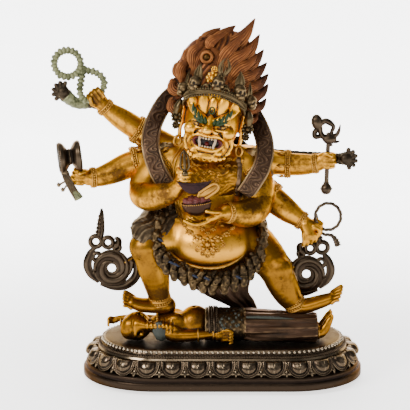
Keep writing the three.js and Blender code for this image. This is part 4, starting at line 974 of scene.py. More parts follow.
# Painted parts of the face, laid on the metal.
def makeFacePaint():
    brows, whites, pupils, lips = [], [], [], []
    for side in (-1, 1):
        s = lambda *p: [side * p[0], *p[1:]]
        for k, (x, y, z) in enumerate([(1.3, -9.9, 2.8), (2.4, -10.1, 3.1), (3.5, -9.9, 3.7),
                                       (4.6, -9.3, 4.3), (5.5, -8.5, 5.0)]):
            rise = 1.1 + 0.24 * k  # one flame of the brow
            brows.append(tube([s(x - 0.6, y, z - 0.9, 0.25), s(x - 0.1, y - 0.25, z - 0.4, 0.55),
                               s(x + 0.3, y - 0.15, z + rise * 0.5, 0.48),
                               s(x + 0.5, y + 0.1, z + rise * 1.1, 0.06)],
                              8, 8))
        brows.append(tube([s(0.9, -9.7, 2.0, 0.3), s(2.8, -10.1, 2.3, 0.55), s(4.6, -9.3, 3.2, 0.5),
                           s(5.7, -8.3, 4.2, 0.15)], 12, 8))
        whites.append(tube([s(2.4, -8.95, 1.15, 0.2), s(3.3, -9.15, 1.2, 0.42), s(4.2, -8.95, 1.35, 0.4),
                            s(4.9, -8.4, 1.45, 0.12)], 10, 8))
        pupils.append(tube([s(3.4, -8.9, 1.3, 0.3), s(3.42, -9.7, 1.3, 0.34), s(3.44, -9.75, 1.3, 0.1)], 6,
                           10, ref=(0, 0, 1)))
        ring = [s(3.5 + 1.35 * math.cos(a), -9.1 + 0.5 * math.cos(a) ** 2, 1.3 + 0.75 * math.sin(a), 0.17)
                for a in turnsOf(16)]
        pupils.append(swept(ring, 6, closed=True))
        lips.append(tube([s(2.9, -8.8, -2.8, 0.2), s(3.7, -8.4, -3.2, 0.4), s(4.2, -7.9, -4.1, 0.55),
                          s(3.7, -8.4, -5.0, 0.4), s(2.9, -8.8, -5.4, 0.2)], 12, 8))
    lips.append(tube([[0, -6.4, -4.4, 0.8, 0.8], [0, -8.6, -4.5, 0.75, 0.7], [0, -9.5, -4.4, 0.4, 0.3]], 8,
                     10, ref=(0, 0, 1)))  # tongue
    brows.append(ringOf((0, -9.35, 6.0), 0.75, 0.26, 7, 16, 1.4))  # round the third eye
    whites.append(tube([[0, -9.1, 5.2, 0.12], [0, -9.3, 6.0, 0.4], [0, -9.1, 6.8, 0.12]], 8, 8))
    pupils.append(tube([[0, -9.2, 5.95, 0.25], [0, -9.75, 6, 0.3], [0, -9.8, 6, 0.08]], 4, 8, ref=(0, 0, 1)))
    cavity = Clay((-5, -9.4, -6.6), (5, -5.4, -1.8), 0.25)
    cavity.press(ball((0, -7.2, -4.1), (4.5, 1.3, 1.9)))
    for name, parts, finish in (("browFlames", brows, "green"), ("eyes", whites, "oldGilt"),
                                ("pupils", pupils, "black"), ("lips", lips, "red"),
                                ("mouthDark", cavity.skin(), "black")):
        addPiece(name, parts, finish, place=headPlace, slot="painted_detail")


# Teeth: two rows on arcs, joined at the corners by the fangs into a square frame.
def makeTeeth():
    fangs, rows = [], []
    for z, y, radius, stretch in ((-2.75, -9.5, 0.37, (1, 0.7, 1.05)), (-5.35, -9.4, 0.35, (1, 0.7, 1.1))):
        arc = smoothRun([[-2.1, y + 0.6, z], [0, y, z], [2.1, y + 0.6, z]], 12)
        rows.append(beads(moved((arc, noTris, noTris), headPlace)[0], 0.78, radius, stretch))
    for side in (-1, 1):
        for top, tip in ((-2.5, -4.9), (-5.8, -3.6)):
            x = side * (2.45 if top > tip else 2.1)
            fangs.append(tube([[x, -9, top, 0.4], [x, -9.4, (top + tip) / 2, 0.34], [x, -9.45, tip, 0.08]],
                              6, 8))
    addPiece("teeth", [*rows, moved(merged(fangs), headPlace)], "white")


makeHead()
makeFacePaint()
makeTeeth()
print("stage: head")


# Flaming hair: a core, scalloped curls down its right edge and locks swept up to points on its left.
# A lock is a run of [x, z] with a half width; every lock is ribbed like combed strands.
hair = {
    "grain": 0.42,
    "core": [(2.0, (-2.2, 2.4, 83.6), (11.6, 6.6, 11.4)), (2.0, (0.4, 2.6, 76), (10.6, 7.4, 9.4)),
             (2.0, (1, 2.2, 90.6), (7.6, 4, 5.6))],
    "plain": {"sides": 32, "ribs": 8},  # behind, the locks are more coarsely engraved
    "outline": [
        ([[-1, 83], [1.5, 90], [6.5, 94.4], [9.9, 99.7]], 2.8),
        ([[1, 82], [4.4, 87.3], [8.6, 90.4], [11.3, 94.8]], 2.5),
        ([[3, 80], [6.4, 84.4], [10, 86.8], [12.6, 90.1]], 2.3),
        ([[4.5, 78], [7.8, 81.6], [11, 83.4], [13.6, 86.1]], 2.1),
        ([[5.5, 76], [8.8, 78.8], [11.8, 80.2], [14.1, 82.6]], 2.0),
        ([[6, 73.5], [9.2, 75.8], [12.2, 77], [14.1, 79.5]], 1.9),
        ([[6.6, 71], [9.2, 72.2], [11.8, 72.8], [13.5, 75]], 1.7),
        ([[7, 68.4], [8.6, 68.6], [10, 69], [10.9, 70.9]], 1.3),
        ([[-2.6, 86], [-2.4, 92], [0.8, 95.2], [3.9, 97.5]], 2.3),
        ([[-5, 88], [-5.2, 92.6], [-3.2, 95], [-0.7, 96.8]], 2.1),
    ],
    "inner": [
        ([[-1.4, 84], [0.6, 88.6], [3.6, 92.2], [6.6, 95.6]], 1.9),
        ([[0.2, 83], [3, 87.2], [6.6, 89.6], [9.0, 92.4]], 1.9),
        ([[1.6, 81], [5, 84.8], [8.2, 86.6], [10.4, 88.9]], 1.8),
        ([[2.6, 78.6], [6.2, 81.8], [9.2, 83.2], [11.4, 85.2]], 1.7),
        ([[4.4, 76.4], [7.4, 78.8], [10, 79.8], [12, 81.6]], 1.6),
        ([[5.6, 73.6], [8, 75.4], [10.4, 76.2], [12.2, 77.6]], 1.5),
        ([[6.2, 70.8], [8, 72], [10, 72.6], [11.4, 73.8]], 1.3),
        ([[-9.4, 85], [-9.2, 89.6], [-7.2, 91.6], [-5.1, 94]], 1.6),
        ([[-12.6, 80.6], [-12.9, 84.6], [-11.6, 86.6], [-10.2, 88.9]], 1.5),
        ([[-3, 85], [-1.8, 88.4], [-3.4, 90.9], [-5.8, 91.2]], 1.2),
        ([[-8.8, 82.6], [-8, 86.6], [-6.4, 89.8], [-3.2, 92.4]], 1.4),
        ([[-4.8, 91], [-3.6, 93.2], [-1.6, 94.4], [1.2, 95.8]], 1.5),
    ],
    # centre [x, z], reach, where the curl starts and ends (degrees), where it runs on to
    "curls": [
        ([-14.1, 73.6], 3.4, 60, 250, [-8.5, 78.4]), ([-13.9, 79.5], 3.4, 50, 255, [-7.5, 84.4]),
        ([-12.6, 84.6], 3.3, 40, 250, [-6, 89]), ([-9.8, 89.2], 3.1, 30, 240, [-3, 92.6]),
        ([-5.8, 92.9], 2.9, 20, 230, [1, 95.4]),
    ],
}


def ribbed(path, halfWidth, depth, steps=20, sides=60, ribs=15):
    t = np.linspace(0, 1, steps + 1)[:, None]
    full = np.minimum(1, (t + 0.12) / 0.3) * np.clip((1 - t) / 0.55, 0.02, 1) ** 0.8
    run = np.concatenate([smoothRun(path, steps), full * halfWidth, full * depth], axis=1)
    return swept(run, sides, ridges=ribs, ridgeDepth=0.088)


def lockAt(path, width, root, tip, **more):
    share = np.linspace(0, 1, len(path))
    spots = [[x, root + (tip - root) * s, z] for (x, z), s in zip(path, share)]
    return ribbed(spots, width, width * 0.6, **more)


def curlAt(centre, reach, start, end, run, y, **more):
    half = reach * 0.52
    arc = [[centre[0] + math.cos(a) * (reach - half), y, centre[1] + math.sin(a) * (reach - half)]
           for a in np.radians(np.linspace(-start, -end, 9))]
    return ribbed([*arc, [run[0], y - 0.4, run[1]]], half, half * 0.8, steps=30, **more)


def makeHair():
    clay = Clay((-15.5, -6, 66), (13, 10.6, 97.5), hair["grain"])
    clay.sculpt(hair["core"])
    comb = lambda x, y, z: 0.16 * np.sin((x * 0.75 - z * 0.45 + 0.8 * np.sin(z * 0.25) + 0.5 * y) * 5.0)
    clay.ripple((-15, -6, 66), (13, 10.6, 97), comb)
    front, back, plain = [], [], hair["plain"]
    for path, width in hair["outline"]:
        front.append(lockAt(path, width, -1.0, 0.8))
        back.append(lockAt(path, width * 0.95, 4.6, 3.0, **plain))
    for path, width in hair["inner"]:
        front.append(lockAt(path, width, -3.8, -3.0))
        back.append(lockAt(path, width, 7.6, 5.6, **plain))
    for k, (centre, reach, start, end, run) in enumerate(hair["curls"]):
        front.append(curlAt(centre, reach, start, end, run, -1.2 - 0.1 * k))
        back.append(curlAt(centre, reach * 0.96, start, end, run, 3.4, **plain))
    front.append(ringOf((-5, -4.6, 88.5), 1.55, 0.62, 10, 16))
    for k in range(7):  # combed locks down the back of the head
        x = -9.4 + 2.7 * k
        drop = [[x * 0.8 - 0.5, 8.6, 80], [x, 9.6, 74], [x * 1.05 - 0.6, 8.4, 67], [x * 1.1 - 1.6, 7.4, 62.4]]
        back.append(ribbed(drop, 2.0, 1.2, **plain))
    for name, parts in (("hairCore", clay.skin()), ("hairFront", front), ("hairBack", back)):
        addPiece(name, parts, "copper", scale=0.0004, rounds=5)
    knob = Clay((-6.4, -6.2, 87), (-3.6, -3.6, 90), 0.15)
    knob.press(ball((-5, -4.9, 88.5), (0.95, 0.8, 0.95)))
    addPiece("curlBead", knob.skin(), "oldGilt")


makeHair()
print("stage: hair")


# The diadem: a beaded band with five skulls, a leaf over each and a double prong over the middle one.
crown = {
    "band": [[-9.1, -0.6, 4.6], [-8.7, -4.4, 7.7], [-5.6, -7.9, 10.4], [0, -9.0, 11.6], [5.6, -7.9, 10.4],
             [8.7, -4.4, 7.7], [9.1, -0.6, 4.6]],
    "bandHalf": (0.5, 0.6),
    "beadRadius": 0.4,
    "beadPitch": 0.8,
    "skullGrain": 0.18,
    "skull": [
        (0.8, (0, 0.1, 0.45), (1.6, 1.65, 1.5)), (0.5, (0, -0.6, -1.0), (1.0, 0.95, 0.85)),
        *[form for side in (-1, 1) for form in ((0.3, (side * 1.05, -0.9, -0.5), (0.5, 0.5, 0.4)),
                                                (-0.15, (side * 0.62, -1.55, 0.25), (0.45, 0.6, 0.48)))],
        (-0.1, (0, -1.6, -0.5), (0.2, 0.4, 0.3)),
        # teeth
        *[(-0.08, [[k * 0.3, -1.75, -0.95, 0.07], [k * 0.3, -1.6, -1.5, 0.07]], 2) for k in range(-2, 3)],
        (-0.08, [[-0.8, -1.5, -1.22, 0.1], [0, -1.75, -1.25, 0.1], [0.8, -1.5, -1.22, 0.1]], 4),
    ],
    # place and turn of each skull
    "skulls": [(-10.2, -1.6, 9.4, -72), (-6.4, -6.9, 12.9, -36), (0.6, -9.0, 14.5, 0), (7.2, -6.7, 12.5, 36),
               (10.6, -1.4, 8.8, 72)],
}


def leafShape(height=4.4, half=1.5):
    rib = tube([[0, -0.25, -0.6, 0.3], [0, -0.45, height * 0.5, 0.26], [0, -0.2, height, 0.06]], 8, 6)
    blade = tube([[0, 0, -0.6, half * 0.7, 0.3], [0, 0, height * 0.3, half, 0.35],
                  [0, 0, height * 0.72, half * 0.55, 0.25], [0, 0, height * 1.04, 0.05, 0.05]], 12, 12)
    edge = [tube([[s * half * 0.7, -0.1, -0.6, 0.2], [s * half * 1.02, -0.1, height * 0.3, 0.22],
                  [s * half * 0.55, -0.1, height * 0.72, 0.2], [0, 0, height * 1.06, 0.08]], 12,
                  6) for s in (-1, 1)]
    return merged([rib, blade, *edge])


# A shape carried to a place, turned about the upright and leaned outwards.
def setAt(shape, place, turn=0, lean=0, size=1.0):
    return moved(shape, Matrix.Translation(Vector(place)) @ Matrix.Rotation(math.radians(turn), 4, "Z")
                 @ Matrix.Rotation(math.radians(lean), 4, "X") @ Matrix.Scale(size, 4))


# A rosette: a boss inside a ring of small petals, facing -Y.
def rosetteShape(petals=8):
    boss = swept([[0, 0.35, 0, 0.5], [0, -0.1, 0, 0.48], [0, -0.45, 0, 0.2]], 10, ref=(0, 0, 1))
    plate = swept([[0, 0.4, 0, 0.95], [0, 0.12, 0, 0.95]], 16, ref=(0, 0, 1))
    ring = [[math.cos(a) * 0.78, -0.05, math.sin(a) * 0.78] for a in turnsOf(24)]
    return merged([boss, plate, beads(ring, 2 * np.pi * 0.78 / petals, 0.28, closed=True)])


def makeCrown():
    band = smoothRun(crown["band"], 36)
    lift = band * (1.05, 1.05, 1.0)
    parts = [cord(band, crown["bandHalf"], 10, ref=(0, 0, 1), square=True),
             *[beads(lift + (0, 0, dz), crown["beadPitch"], crown["beadRadius"]) for dz in (1.1, -0.95)],
             *[cord(lift * (1.01, 1.01, 1) + (0, 0, dz), 0.17, 6, ref=(0, 0, 1)) for dz in (0.55, -0.4)]]
    addPiece("diadem", parts, "olive", scale=0.0003, place=headPlace)
    clay = Clay((-2.2, -2.4, -2.6), (2.2, 2.2, 2.4), crown["skullGrain"])
    clay.sculpt(crown["skull"])
    skull, leaf = clay.skin(), leafShape()
    bones, leaves = [], []
    for x, y, z, turn in crown["skulls"]:
        bones.append(setAt(skull, (x, y, z), turn, 0, 1.2))
        leaves.append(setAt(leaf, (x * 0.94, y * 0.9, z + 1.4), turn, -6, 1.0 if turn else 0.5))
        for side in (-1, 1):  # small scrolls either side of the skull
            away = Matrix.Rotation(math.radians(turn), 3, "Z") @ Vector((side * 2.2, 0.5, -0.9))
            leaves.append(setAt(rosette, Vector((x, y, z)) + away, turn, 0, 0.85))
    for side in (-1, 1):  # the double prong over the middle skull
        leaves.append(tube([[1.4 + side * 0.3, -8.6, 16.8, 0.5], [1.6 + side * 1.3, -8.7, 18.6, 0.6],
                            [1.7 + side * 1.25, -8.6, 20.2, 0.55], [1.8 + side * 0.35, -8.5, 22.4, 0.08]],
                            12, 8))
        leaves.append(tube([[1.5, -8.8, 17, 0.3], [1.6 + side * 0.5, -8.9, 18.6, 0.34],
                            [1.7 + side * 0.3, -8.8, 20.6, 0.08]], 8, 6))
    leaves.append(setAt(rosette, (1.2, -9.2, 16.8), 0, 0, 0.95))
    curl = tube([[0.2, 0, -0.8, 0.5], [0.9, -0.1, 0.4, 0.5], [0.5, -0.2, 1.5, 0.42], [-0.5, -0.3, 1.4, 0.34],
                 [-0.6, -0.35, 0.6, 0.25], [0, -0.4, 0.5, 0.15]], 16, 7)
    for turn in (-54, -18, 18, 54):  # curled leaves between the skulls
        x, y = math.sin(math.radians(turn)) * 9.6, -math.cos(math.radians(turn)) * 8.6
        leaves.append(setAt(curl, (x, y, 12.6 - abs(turn) * 0.055), turn, 0, 1.1))
    addPiece("crownSkulls", bones, "brass", scale=0.0003, place=headPlace)
    addPiece("crownLeaves", leaves, "olive", scale=0.0003, place=headPlace)
    jewel = [setAt(rosette, (-1.6, -7.2, 15.4), 0, -10, 1.9), setAt(rosette, (-1.4, -6.6, 18), 0, -10, 1.0)]
    addPiece("topknotJewel", jewel, "gilt", scale=0.0003, place=headPlace)


# Ear ornaments: a dark rosette with a drop beside the ear, and a plain ring through the lobe.
def makeEarrings():
    dark, bright = [], []
    for side in (-1, 1):
        x = side * 11.0
        dark += [setAt(rosette, (x, -1.8, 0.6), side * 24, 0, 1.9),
                 tube([[x, -1.6, 1.5, 1.0], [side * 10.9, -1.7, 3.8, 1.3], [side * 10.4, -1.6, 6.2, 0.6]], 8,
                      12, ridges=4, ridgeDepth=0.15),
                 setAt(rosette, (x, -1.8, -2.0), side * 24, 0, 1.2)]
        loop = [[side * (9.6 + math.cos(a)), -2.0 - 0.5 * math.cos(a), -6.6 + 1.5 * math.sin(a), 0.45]
                for a in turnsOf(24)]
        bright.append(swept(loop, 9, closed=True))
    addPiece("earRosettes", dark, "olive", scale=0.0003, place=headPlace)
    addPiece("earRings", bright, "oldGilt", place=headPlace)


rosette = rosetteShape()
makeCrown()
makeEarrings()
print("stage: crown and earrings")


# Where a straight line along the view first meets the modelled body, for what lies on it.
def frontOf(x, z):
    i, k = (int(round((v - bodyClay.low[a]) / bodyClay.grain)) for v, a in ((x, 0), (z, 2)))
    i, k = min(max(i, 0), bodyClay.shape[0] - 1), min(max(k, 0), bodyClay.shape[2] - 1)
    hits = np.nonzero(bodyClay.field[i, :, k] < 0)[0]
    return bodyClay.axes[1][hits[0]] if len(hits) else 0.0


# A run of [x, z] laid on the front of the body, lifted by its own thickness and evened out.
def laidOn(path, steps, lift=0.2):
    path = np.array([[x, frontOf(x, z) - lift, z] for x, z in smoothRun(path, steps)])
    for _ in range(2):
        path[1:-1, 1] = (path[:-2, 1] + path[2:, 1] + 2 * path[1:-1, 1]) / 4
    return path


jewels = {
    "chains": [  # choker, necklace, long chain and inner chain
        [[-10.6, 57.4], [-8, 54.8], [-4.4, 53.4], [-0.6, 54.6], [2.6, 57.2]],
        [[-13, 57], [-11.4, 51.4], [-7.6, 48], [-3.6, 47.2], [1.2, 48.4], [5, 52], [6.4, 57]],
        [[-13.6, 52], [-14.6, 44], [-13.6, 39.4], [-11.2, 36.4], [-8, 34.4], [-4.6, 33.4], [-1, 34.2],
         [2, 36], [5, 38.6], [7.2, 42], [7.6, 47]],
        [[-10.6, 41], [-9, 38.6], [-6.6, 37.2], [-4.6, 36.8], [-2.4, 37.6], [-0.6, 39.6], [0.4, 41]],
    ],
    "rosettes": [(-4.7, 32.6, 2.3), (-7.7, 33.8, 1.7), (-1.7, 33.8, 1.7), (-10.2, 35.4, 1.4), (0.9, 35, 1.4),
                 (-6.3, 36.6, 0.95), (-3.0, 36.6, 1.0), (2.9, 36.6, 0.9), (-11.6, 37.4, 0.8),
                 (-8.6, 37.2, 0.8), (-0.4, 37.4, 0.8), (-4.7, 38.6, 0.9), (-6.6, 30.9, 1.2),
                 (-2.8, 30.9, 1.2), (-4.7, 35.4, 1.1)],
    "drops": [(-9.4, 32.4), (-7.8, 30.9), (-6.2, 29.9), (-4.7, 29.2), (-3.2, 29.9), (-1.6, 30.9), (0, 32.4)],
    "beadPitch": 0.62,
    "beadRadius": 0.3,
}


def makeJewels():
    parts = []
    for chain in jewels["chains"]:
        path = laidOn(chain, 60, 0.18)
        parts.append(beads(path, jewels["beadPitch"], jewels["beadRadius"], (1.1, 0.9, 0.9)))
        parts.append(cord(path + (0, 0.05, 0.62), 0.16, 6))
    chest = [(x + 1.1 * (row % 2), z, 0.75 + 0.2 * ((row * 5 + k) % 3)) for row,
             z in enumerate(range(57, 46, -2))
             for k, x in enumerate(np.arange(-13.4 + 0.5 * row, 3.4, 2.2))]
    for x, z, size in jewels["rosettes"] + chest:
        slope = math.degrees(math.atan2(frontOf(x, z - 1) - frontOf(x, z + 1), 2))
        aside = math.degrees(math.atan2(frontOf(x + 1, z) - frontOf(x - 1, z), 2))
        parts.append(setAt(rosette, (x, frontOf(x, z) - 0.12, z), aside, -slope, size))
    for x, z in jewels["drops"]:
        link = laidOn([[x * 0.5 - 2.35, 31.4], [x, z + 0.8]], 12, 0.15)  # from the great rosette
        parts.append(beads(link, 0.55, 0.26))
        parts.append(setAt(rosette, (x, frontOf(x, z) - 0.12, z), 0, -24, 0.85))
    addPiece("jewels", parts, "oldGilt", scale=0.00035)


# Cords over the body: the rolled belt under the belly, the edge of the cape, the chest strap and collar.
cords = {
    "belt": [[-18, 1.4, 37.6], [-18.3, -4.8, 33.6], [-16.6, -10.6, 29.6], [-13, -13.8, 27.0],
             [-8.6, -15.1, 25.6], [-4.3, -15.3, 25.1], [0, -14.9, 25.5], [4.2, -13, 27.1], [7.8, -9.2, 30],
             [9.4, -3.8, 33.8], [9.2, 2, 37.6]],
    "capeEdge": [[-12.6, 60.0], [-14.9, 57.1], [-15.6, 52.9], [-15.2, 48.7], [-14.4, 45.3], [-13.4, 41.6],
                 [-12.2, 38.6]],
    "strap": [[4.4, 58], [5.0, 55], [4.6, 51], [3.8, 46]],
}


def makeCords():
    parts = [cord(smoothRun(cords["belt"], 70), 0.42, 10, ridges=4, ridgeDepth=0.2, twist=0.5)]
    for shift in (-0.5, 0.5):
        parts.append(cord(laidOn([[x + shift, z] for x, z in cords["capeEdge"]], 40, 0.1), 0.42))
    addPiece("cords", parts, "oldGilt", scale=0.0004)
    addPiece("chestStrap", cord(laidOn(cords["strap"], 40), (0.95, 0.4), 10), "scarf")
    # The collar's darker gilt sheet is the chest's ornament and also painted shade under the chin and behind
    # the cup.
    rows = [[[x, frontOf(x, z) - 0.5, z] for x in np.linspace(-14.4 + (z - 46) * 0.1, 4.4, 9)]
            for z in np.linspace(46.4, 58, 8)]
    scrolls = lambda u, v: 0.1 * np.sin(28 * u + 3 * np.sin(17 * v)) * np.sin(24 * v + 3 * np.sin(19 * u))
    addPiece("collar", sheetOver(rows, 84, 60, 0.3, None, scrolls), "giltInShade", scale=0.0003)
    dark = []
    for x, y, z, wide, high in ((-17.6, -0.6, 60.4, 3.4, 2.6), (9.6, -2.4, 59.0, 3.6, 3.0)):  # shoulder knots
        for a in np.radians(np.arange(20, 161, 35)):
            rise, reach = math.sin(a) * high, math.cos(a) * wide
            dark.append(tube([[x - reach, y, z - 1.2 + rise * 0.7, 0.7],
                              [x, y - 1.6, z + 0.6 * math.sin(a * 2), 0.9],
                              [x + reach, y, z + 1.2 - rise * 0.8, 0.6]], 16, 12, ridges=4, ridgeDepth=0.18,
                              twist=0.2))
    addPiece("shoulderKnots", dark, "brass", scale=0.0004)


# Rings on the limbs: centre, along, radius of the limb there.
bands = {
    "armlets": [((-26.4, 4.1, 64.9), (-0.84, -0.1, 0.52), 4.0),
                ((-27.4, 1.1, 55.0), (-1, -0.15, -0.15), 4.55), ((20.4, 3.9, 54.2), (1, -0.08, 0), 3.9),
                ((15, 1.1, 44.2), (0.78, -0.25, -0.6), 4.35), ((-17.8, -0.9, 54.8), (-0.85, -0.2, -0.5), 5.3),
                ((9.2, -1.3, 52.6), (0.7, -0.25, -0.75), 5.2)],
    "bangles": [((-36.4, 2.2, 72.2), (-0.7, -0.15, 0.68), 2.6),
                ((-40.2, -2.3, 50.9), (-1, -0.25, -0.05), 2.85), ((29.0, 2.2, 54.5), (1, -0.2, 0.12), 2.75),
                ((24.6, -1.7, 37.2), (0.84, -0.15, -0.56), 2.7),
                ((1.6, -14.6, 42.2), (-0.8, -0.55, 0.12), 2.9), ((-19.8, -5.5, 13.6), (0.12, 0.16, -1), 3.15),
                ((-19.6, -5.2, 12.2), (0.12, 0.16, -1), 3.3), ((22.0, -4.8, 12.0), (0.55, 0.22, -0.85), 3.15),
                ((22.9, -4.4, 10.9), (0.5, 0.2, -0.85), 3.2)],
}


def makeBands():
    parts = []
    peak = tube([[0, 0, -1.2, 0.5, 0.3], [0, -0.1, -2.2, 0.6, 0.3], [0, 0.2, -3.4, 0.06, 0.06]], 6, 7)
    leafy = merged([setAt(rosette, (0, 0, 0), size=1.15), peak])  # a rosette with a pointed leaf above
    for centre, along, radius in bands["armlets"] + bands["bangles"]:
        turn = Vector(along).normalized().to_track_quat("Z", "Y").to_matrix().to_4x4()
        place = Matrix.Translation(Vector(centre)) @ turn
        ring = [cord(levelCircle(radius + 0.1, lift, 30), 0.3, 7, ref=(0, 0, 1),
                     closed=True) for lift in (-0.62, 0.62)]
        ring.append(beads(levelCircle(radius + 0.16, 0, 30), 0.78, 0.36, closed=True))
        if radius > 3.5:
            for k in range(0, 6, 1 if radius < 5 else 2):
                out = Matrix.Rotation(math.radians(k * 60 + 30), 4, "Z")
                ring.append(moved(leafy, out @ Matrix.Translation((0, -radius - 0.3, 0))))
        parts.append(moved(merged(ring), place))
    addPiece("armletsAndBangles", parts, "oldGilt", scale=0.00035)


# The string of severed heads: long-faced heads hung close together by their hair.
garland = {
    "path": [[-16.6, -5, 41], [-19.4, -10.8, 37.6], [-20.4, -13, 33.6], [-19.2, -14.2, 29.6],
             [-16.4, -15, 26.4], [-12, -15.2, 23.8], [-6.4, -15.2, 21.6], [-0.3, -14.6, 20.9],
             [5.6, -13, 22.6], [9.8, -10.6, 26.4], [12.0, -8.2, 30.8], [12.4, -5.4, 35.4], [11.2, -1, 39.4]],
    # rows of heads: shift, count, size, sway
    "rows": [((0, 0, -1.7), 22, 1.12, 0.2), ((0, -0.7, 0.6), 25, 0.9, 0.6), ((0, 0.5, 1.9), 28, 0.7, 1.1)],
    "head": [
        (0.8, (0, 0, 0.2), (1.45, 1.5, 1.7)), (0.5, (0, -0.4, -1.3), (1.05, 1.1, 1.2)),
        (0.6, (0, 0.1, 1.9), (0.9, 0.9, 0.8)),  # hair knot
        (0.2, (0, -1.5, -0.3), (0.32, 0.4, 0.5)),
    ],
    "headSides": [
        (-0.15, (0.6, -1.5, 0.15), (0.42, 0.4, 0.26)), (0.1, (0.6, -1.25, 0.12), (0.3, 0.3, 0.2)),
        (0.15, [[0.2, -1.5, 0.6, 0.18], [1.1, -1.2, 0.9, 0.16]], 2),
        (0.15, (1.4, -0.2, 0.0), (0.25, 0.4, 0.6)),
    ],
    "headMouth": [(-0.15, (0, -1.5, -1.5), (0.6, 0.5, 0.28))],
    "touches": (4, 6, 7, 8, 10, 11, 14),  # a little blue left in the hair of these
}


def makeGarland():
    clay = Clay((-2.3, -2.4, -3.6), (2.3, 2.2, 3.4), 0.36)
    for key, side in (("head", 1), ("headSides", -1), ("headSides", 1), ("headMouth", 1)):
        clay.sculpt(garland[key], side)
    pattern = moved(clay.skin(), Matrix.Scale(unit, 4))
    path = smoothRun(garland["path"], 60)
    rows = [copies("severedHead", pattern, (path + shift) * unit, count, size, sway, count, "brass")
            for shift, count, size, sway in garland["rows"]]
    addPiece("severedHeads", moved(merged(rows), Matrix.Scale(1 / unit, 4)), "brass", scale=0.00104)
    hairs = [cord(path + shift, half, 14, ridges=6, ridgeDepth=0.16, twist=0.3)
             for shift, half in (((0, 0.9, 0.2), 1.5), ((0, 0.6, 1.3), 1.0))]
    addPiece("garlandCord", hairs, "bronze", scale=0.0004)
    touches = []
    for k in garland["touches"]:
        spot = path[int(k * 60 / 22)] + (0.6, -2.1, 0.1 + 0.5 * (k % 3))
        touches.append(swept([[*spot, 0.3, 0.2], [*(spot + (0.9, 0, -0.4)), 0.45, 0.25],
                              [*(spot + (1.7, 0.1, -1.0)), 0.2, 0.12]], 7))
    addPiece("blueTouches", touches, "blue")


# The tiger skin: a flap over the right thigh, a collar at the hips and the long skin behind the stride.
skins = {
    "grain": 0.4,
    "hanging": [[[-15.4, 3.0, 25], [-3, 3.6, 24], [10.6, 3.6, 27]],
                [[-15.6, 2.4, 20.6], [-3, 1.0, 19.4], [10.4, 2.6, 21.6]],
                [[-11.8, 2.6, 16.6], [-1.8, 0.6, 15.2], [8.9, 2.4, 17]],
                [[-5.8, 2.8, 12.8], [1.4, 1.4, 11.8], [8.4, 3.0, 13.2]],
                [[0.2, 3.4, 9.8], [5.4, 2.6, 9], [10.2, 3.8, 10]],
                [[7.2, 4.6, 5.8], [9.4, 4.4, 4.6], [11.4, 4.8, 6.2]],
                [[9.0, 5.2, 1.6], [10, 5.2, 1.0], [10.9, 5.4, 1.8]]],
    "forms": [(1, [[-14, 3, 35.6, 9.2], [-18, -2, 35.2, 8.4], [-22, -6.6, 33.8, 6.9],
                   [-25.4, -9.4, 32.2, 5.3]]),
              (2, (-4, 3.4, 30), (14.4, 8.6, 10.4))],
}


def makeSkins():
    folds = lambda u, v: 0.35 * np.sin(u * 13 + 3 * v) * v + 0.12 * np.sin(u * 40 + 9 * v)
    addPiece("hangingSkin", sheetOver(skins["hanging"], 60, 70, 1.5, folds), "scarf", scale=0.0005)
    clay = Clay((-31, -18, 17), (16, 13, 42.5), skins["grain"])
    clay.sculpt(skins["forms"])
    # locks run down to the left
    across = lambda x, y, z: 0.8 * z - 0.6 * x + 0.6 * np.sin(0.5 * x + 0.4 * z + 0.3 * y)
    tufts = lambda x, y, z: 0.22 * np.sin(across(x, y, z) * 3.2) + 0.1 * np.sin(across(x, y,
                                                                                       z) * 8 + np.sin(x))
    clay.ripple((-31, -18, 17), (16, 13, 42), tufts)
    x, z = clay.axes[0][:, None, None], clay.axes[2][None, None, :]
    hem = 31.4 + 0.16 * (x + 23) ** 2 * (x < -23) + 0.7 * np.sin(x * 2.1) + 0.35 * np.sin(x * 5.3)
    clay.field = np.maximum(clay.field, np.where(x < -15.5, hem - z, -9))
    addPiece("tigerSkin", clay.skin(), "fur")


makeJewels()
makeCords()
makeBands()
makeGarland()
makeSkins()
print("stage: jewels, cords, garland and skins")


# The flayed elephant hide over the back, its forefeet brought to the two upper hands.
hide = {
    # z, x, half width, back, sag at the sides, thickness
    "mantle": [[16, -3.4, 4.4, 8.2, 0.4, 0.8], [22, -4.2, 8.4, 9.8, 2, 1.4], [32, -4.8, 10, 10, 2.8, 1.6],
               [42, -4.6, 10.6, 8.4, 3, 1.8], [50, -4.4, 12, 9.4, 0.8, 1.8], [57, -4, 13.6, 9.9, 0.4, 1.8],
               [62, -3.8, 9, 9.6, 0.6, 1.4]],
    "legs": [
        [[-10, 11.2, 55.4, 3.4, 1.1], [-18, 10.6, 58.8, 2.6, 1.0], [-26.7, 9.4, 64.6, 2.1, 1.0],
         [-34.5, 7.3, 70, 1.9, 1.0], [-39.8, 5.2, 73, 1.6, 1.1], [-45.4, 3.4, 73.4, 1.6, 1.3],
         [-50.0, 1.8, 77.2, 2.3, 1.4]],
        [[2, 11.2, 55, 3.4, 1.1], [12, 10.6, 55.6, 2.5, 1.0], [21, 9.2, 55.4, 2.1, 1.0],
         [28.6, 6.9, 55.4, 2, 1.0], [33, 5.4, 55.8, 1.7, 1.1], [36.4, 3, 55.9, 1.7, 1.3],
         [39.2, 1.6, 56.2, 2.3, 1.4]],
    ],
    "feet": [((-50.4, 1.8, 77.6), (-0.86, 0.5)), ((39.7, 1.6, 56.2), (1, 0.05))],
    "footGrain": 0.17,
}


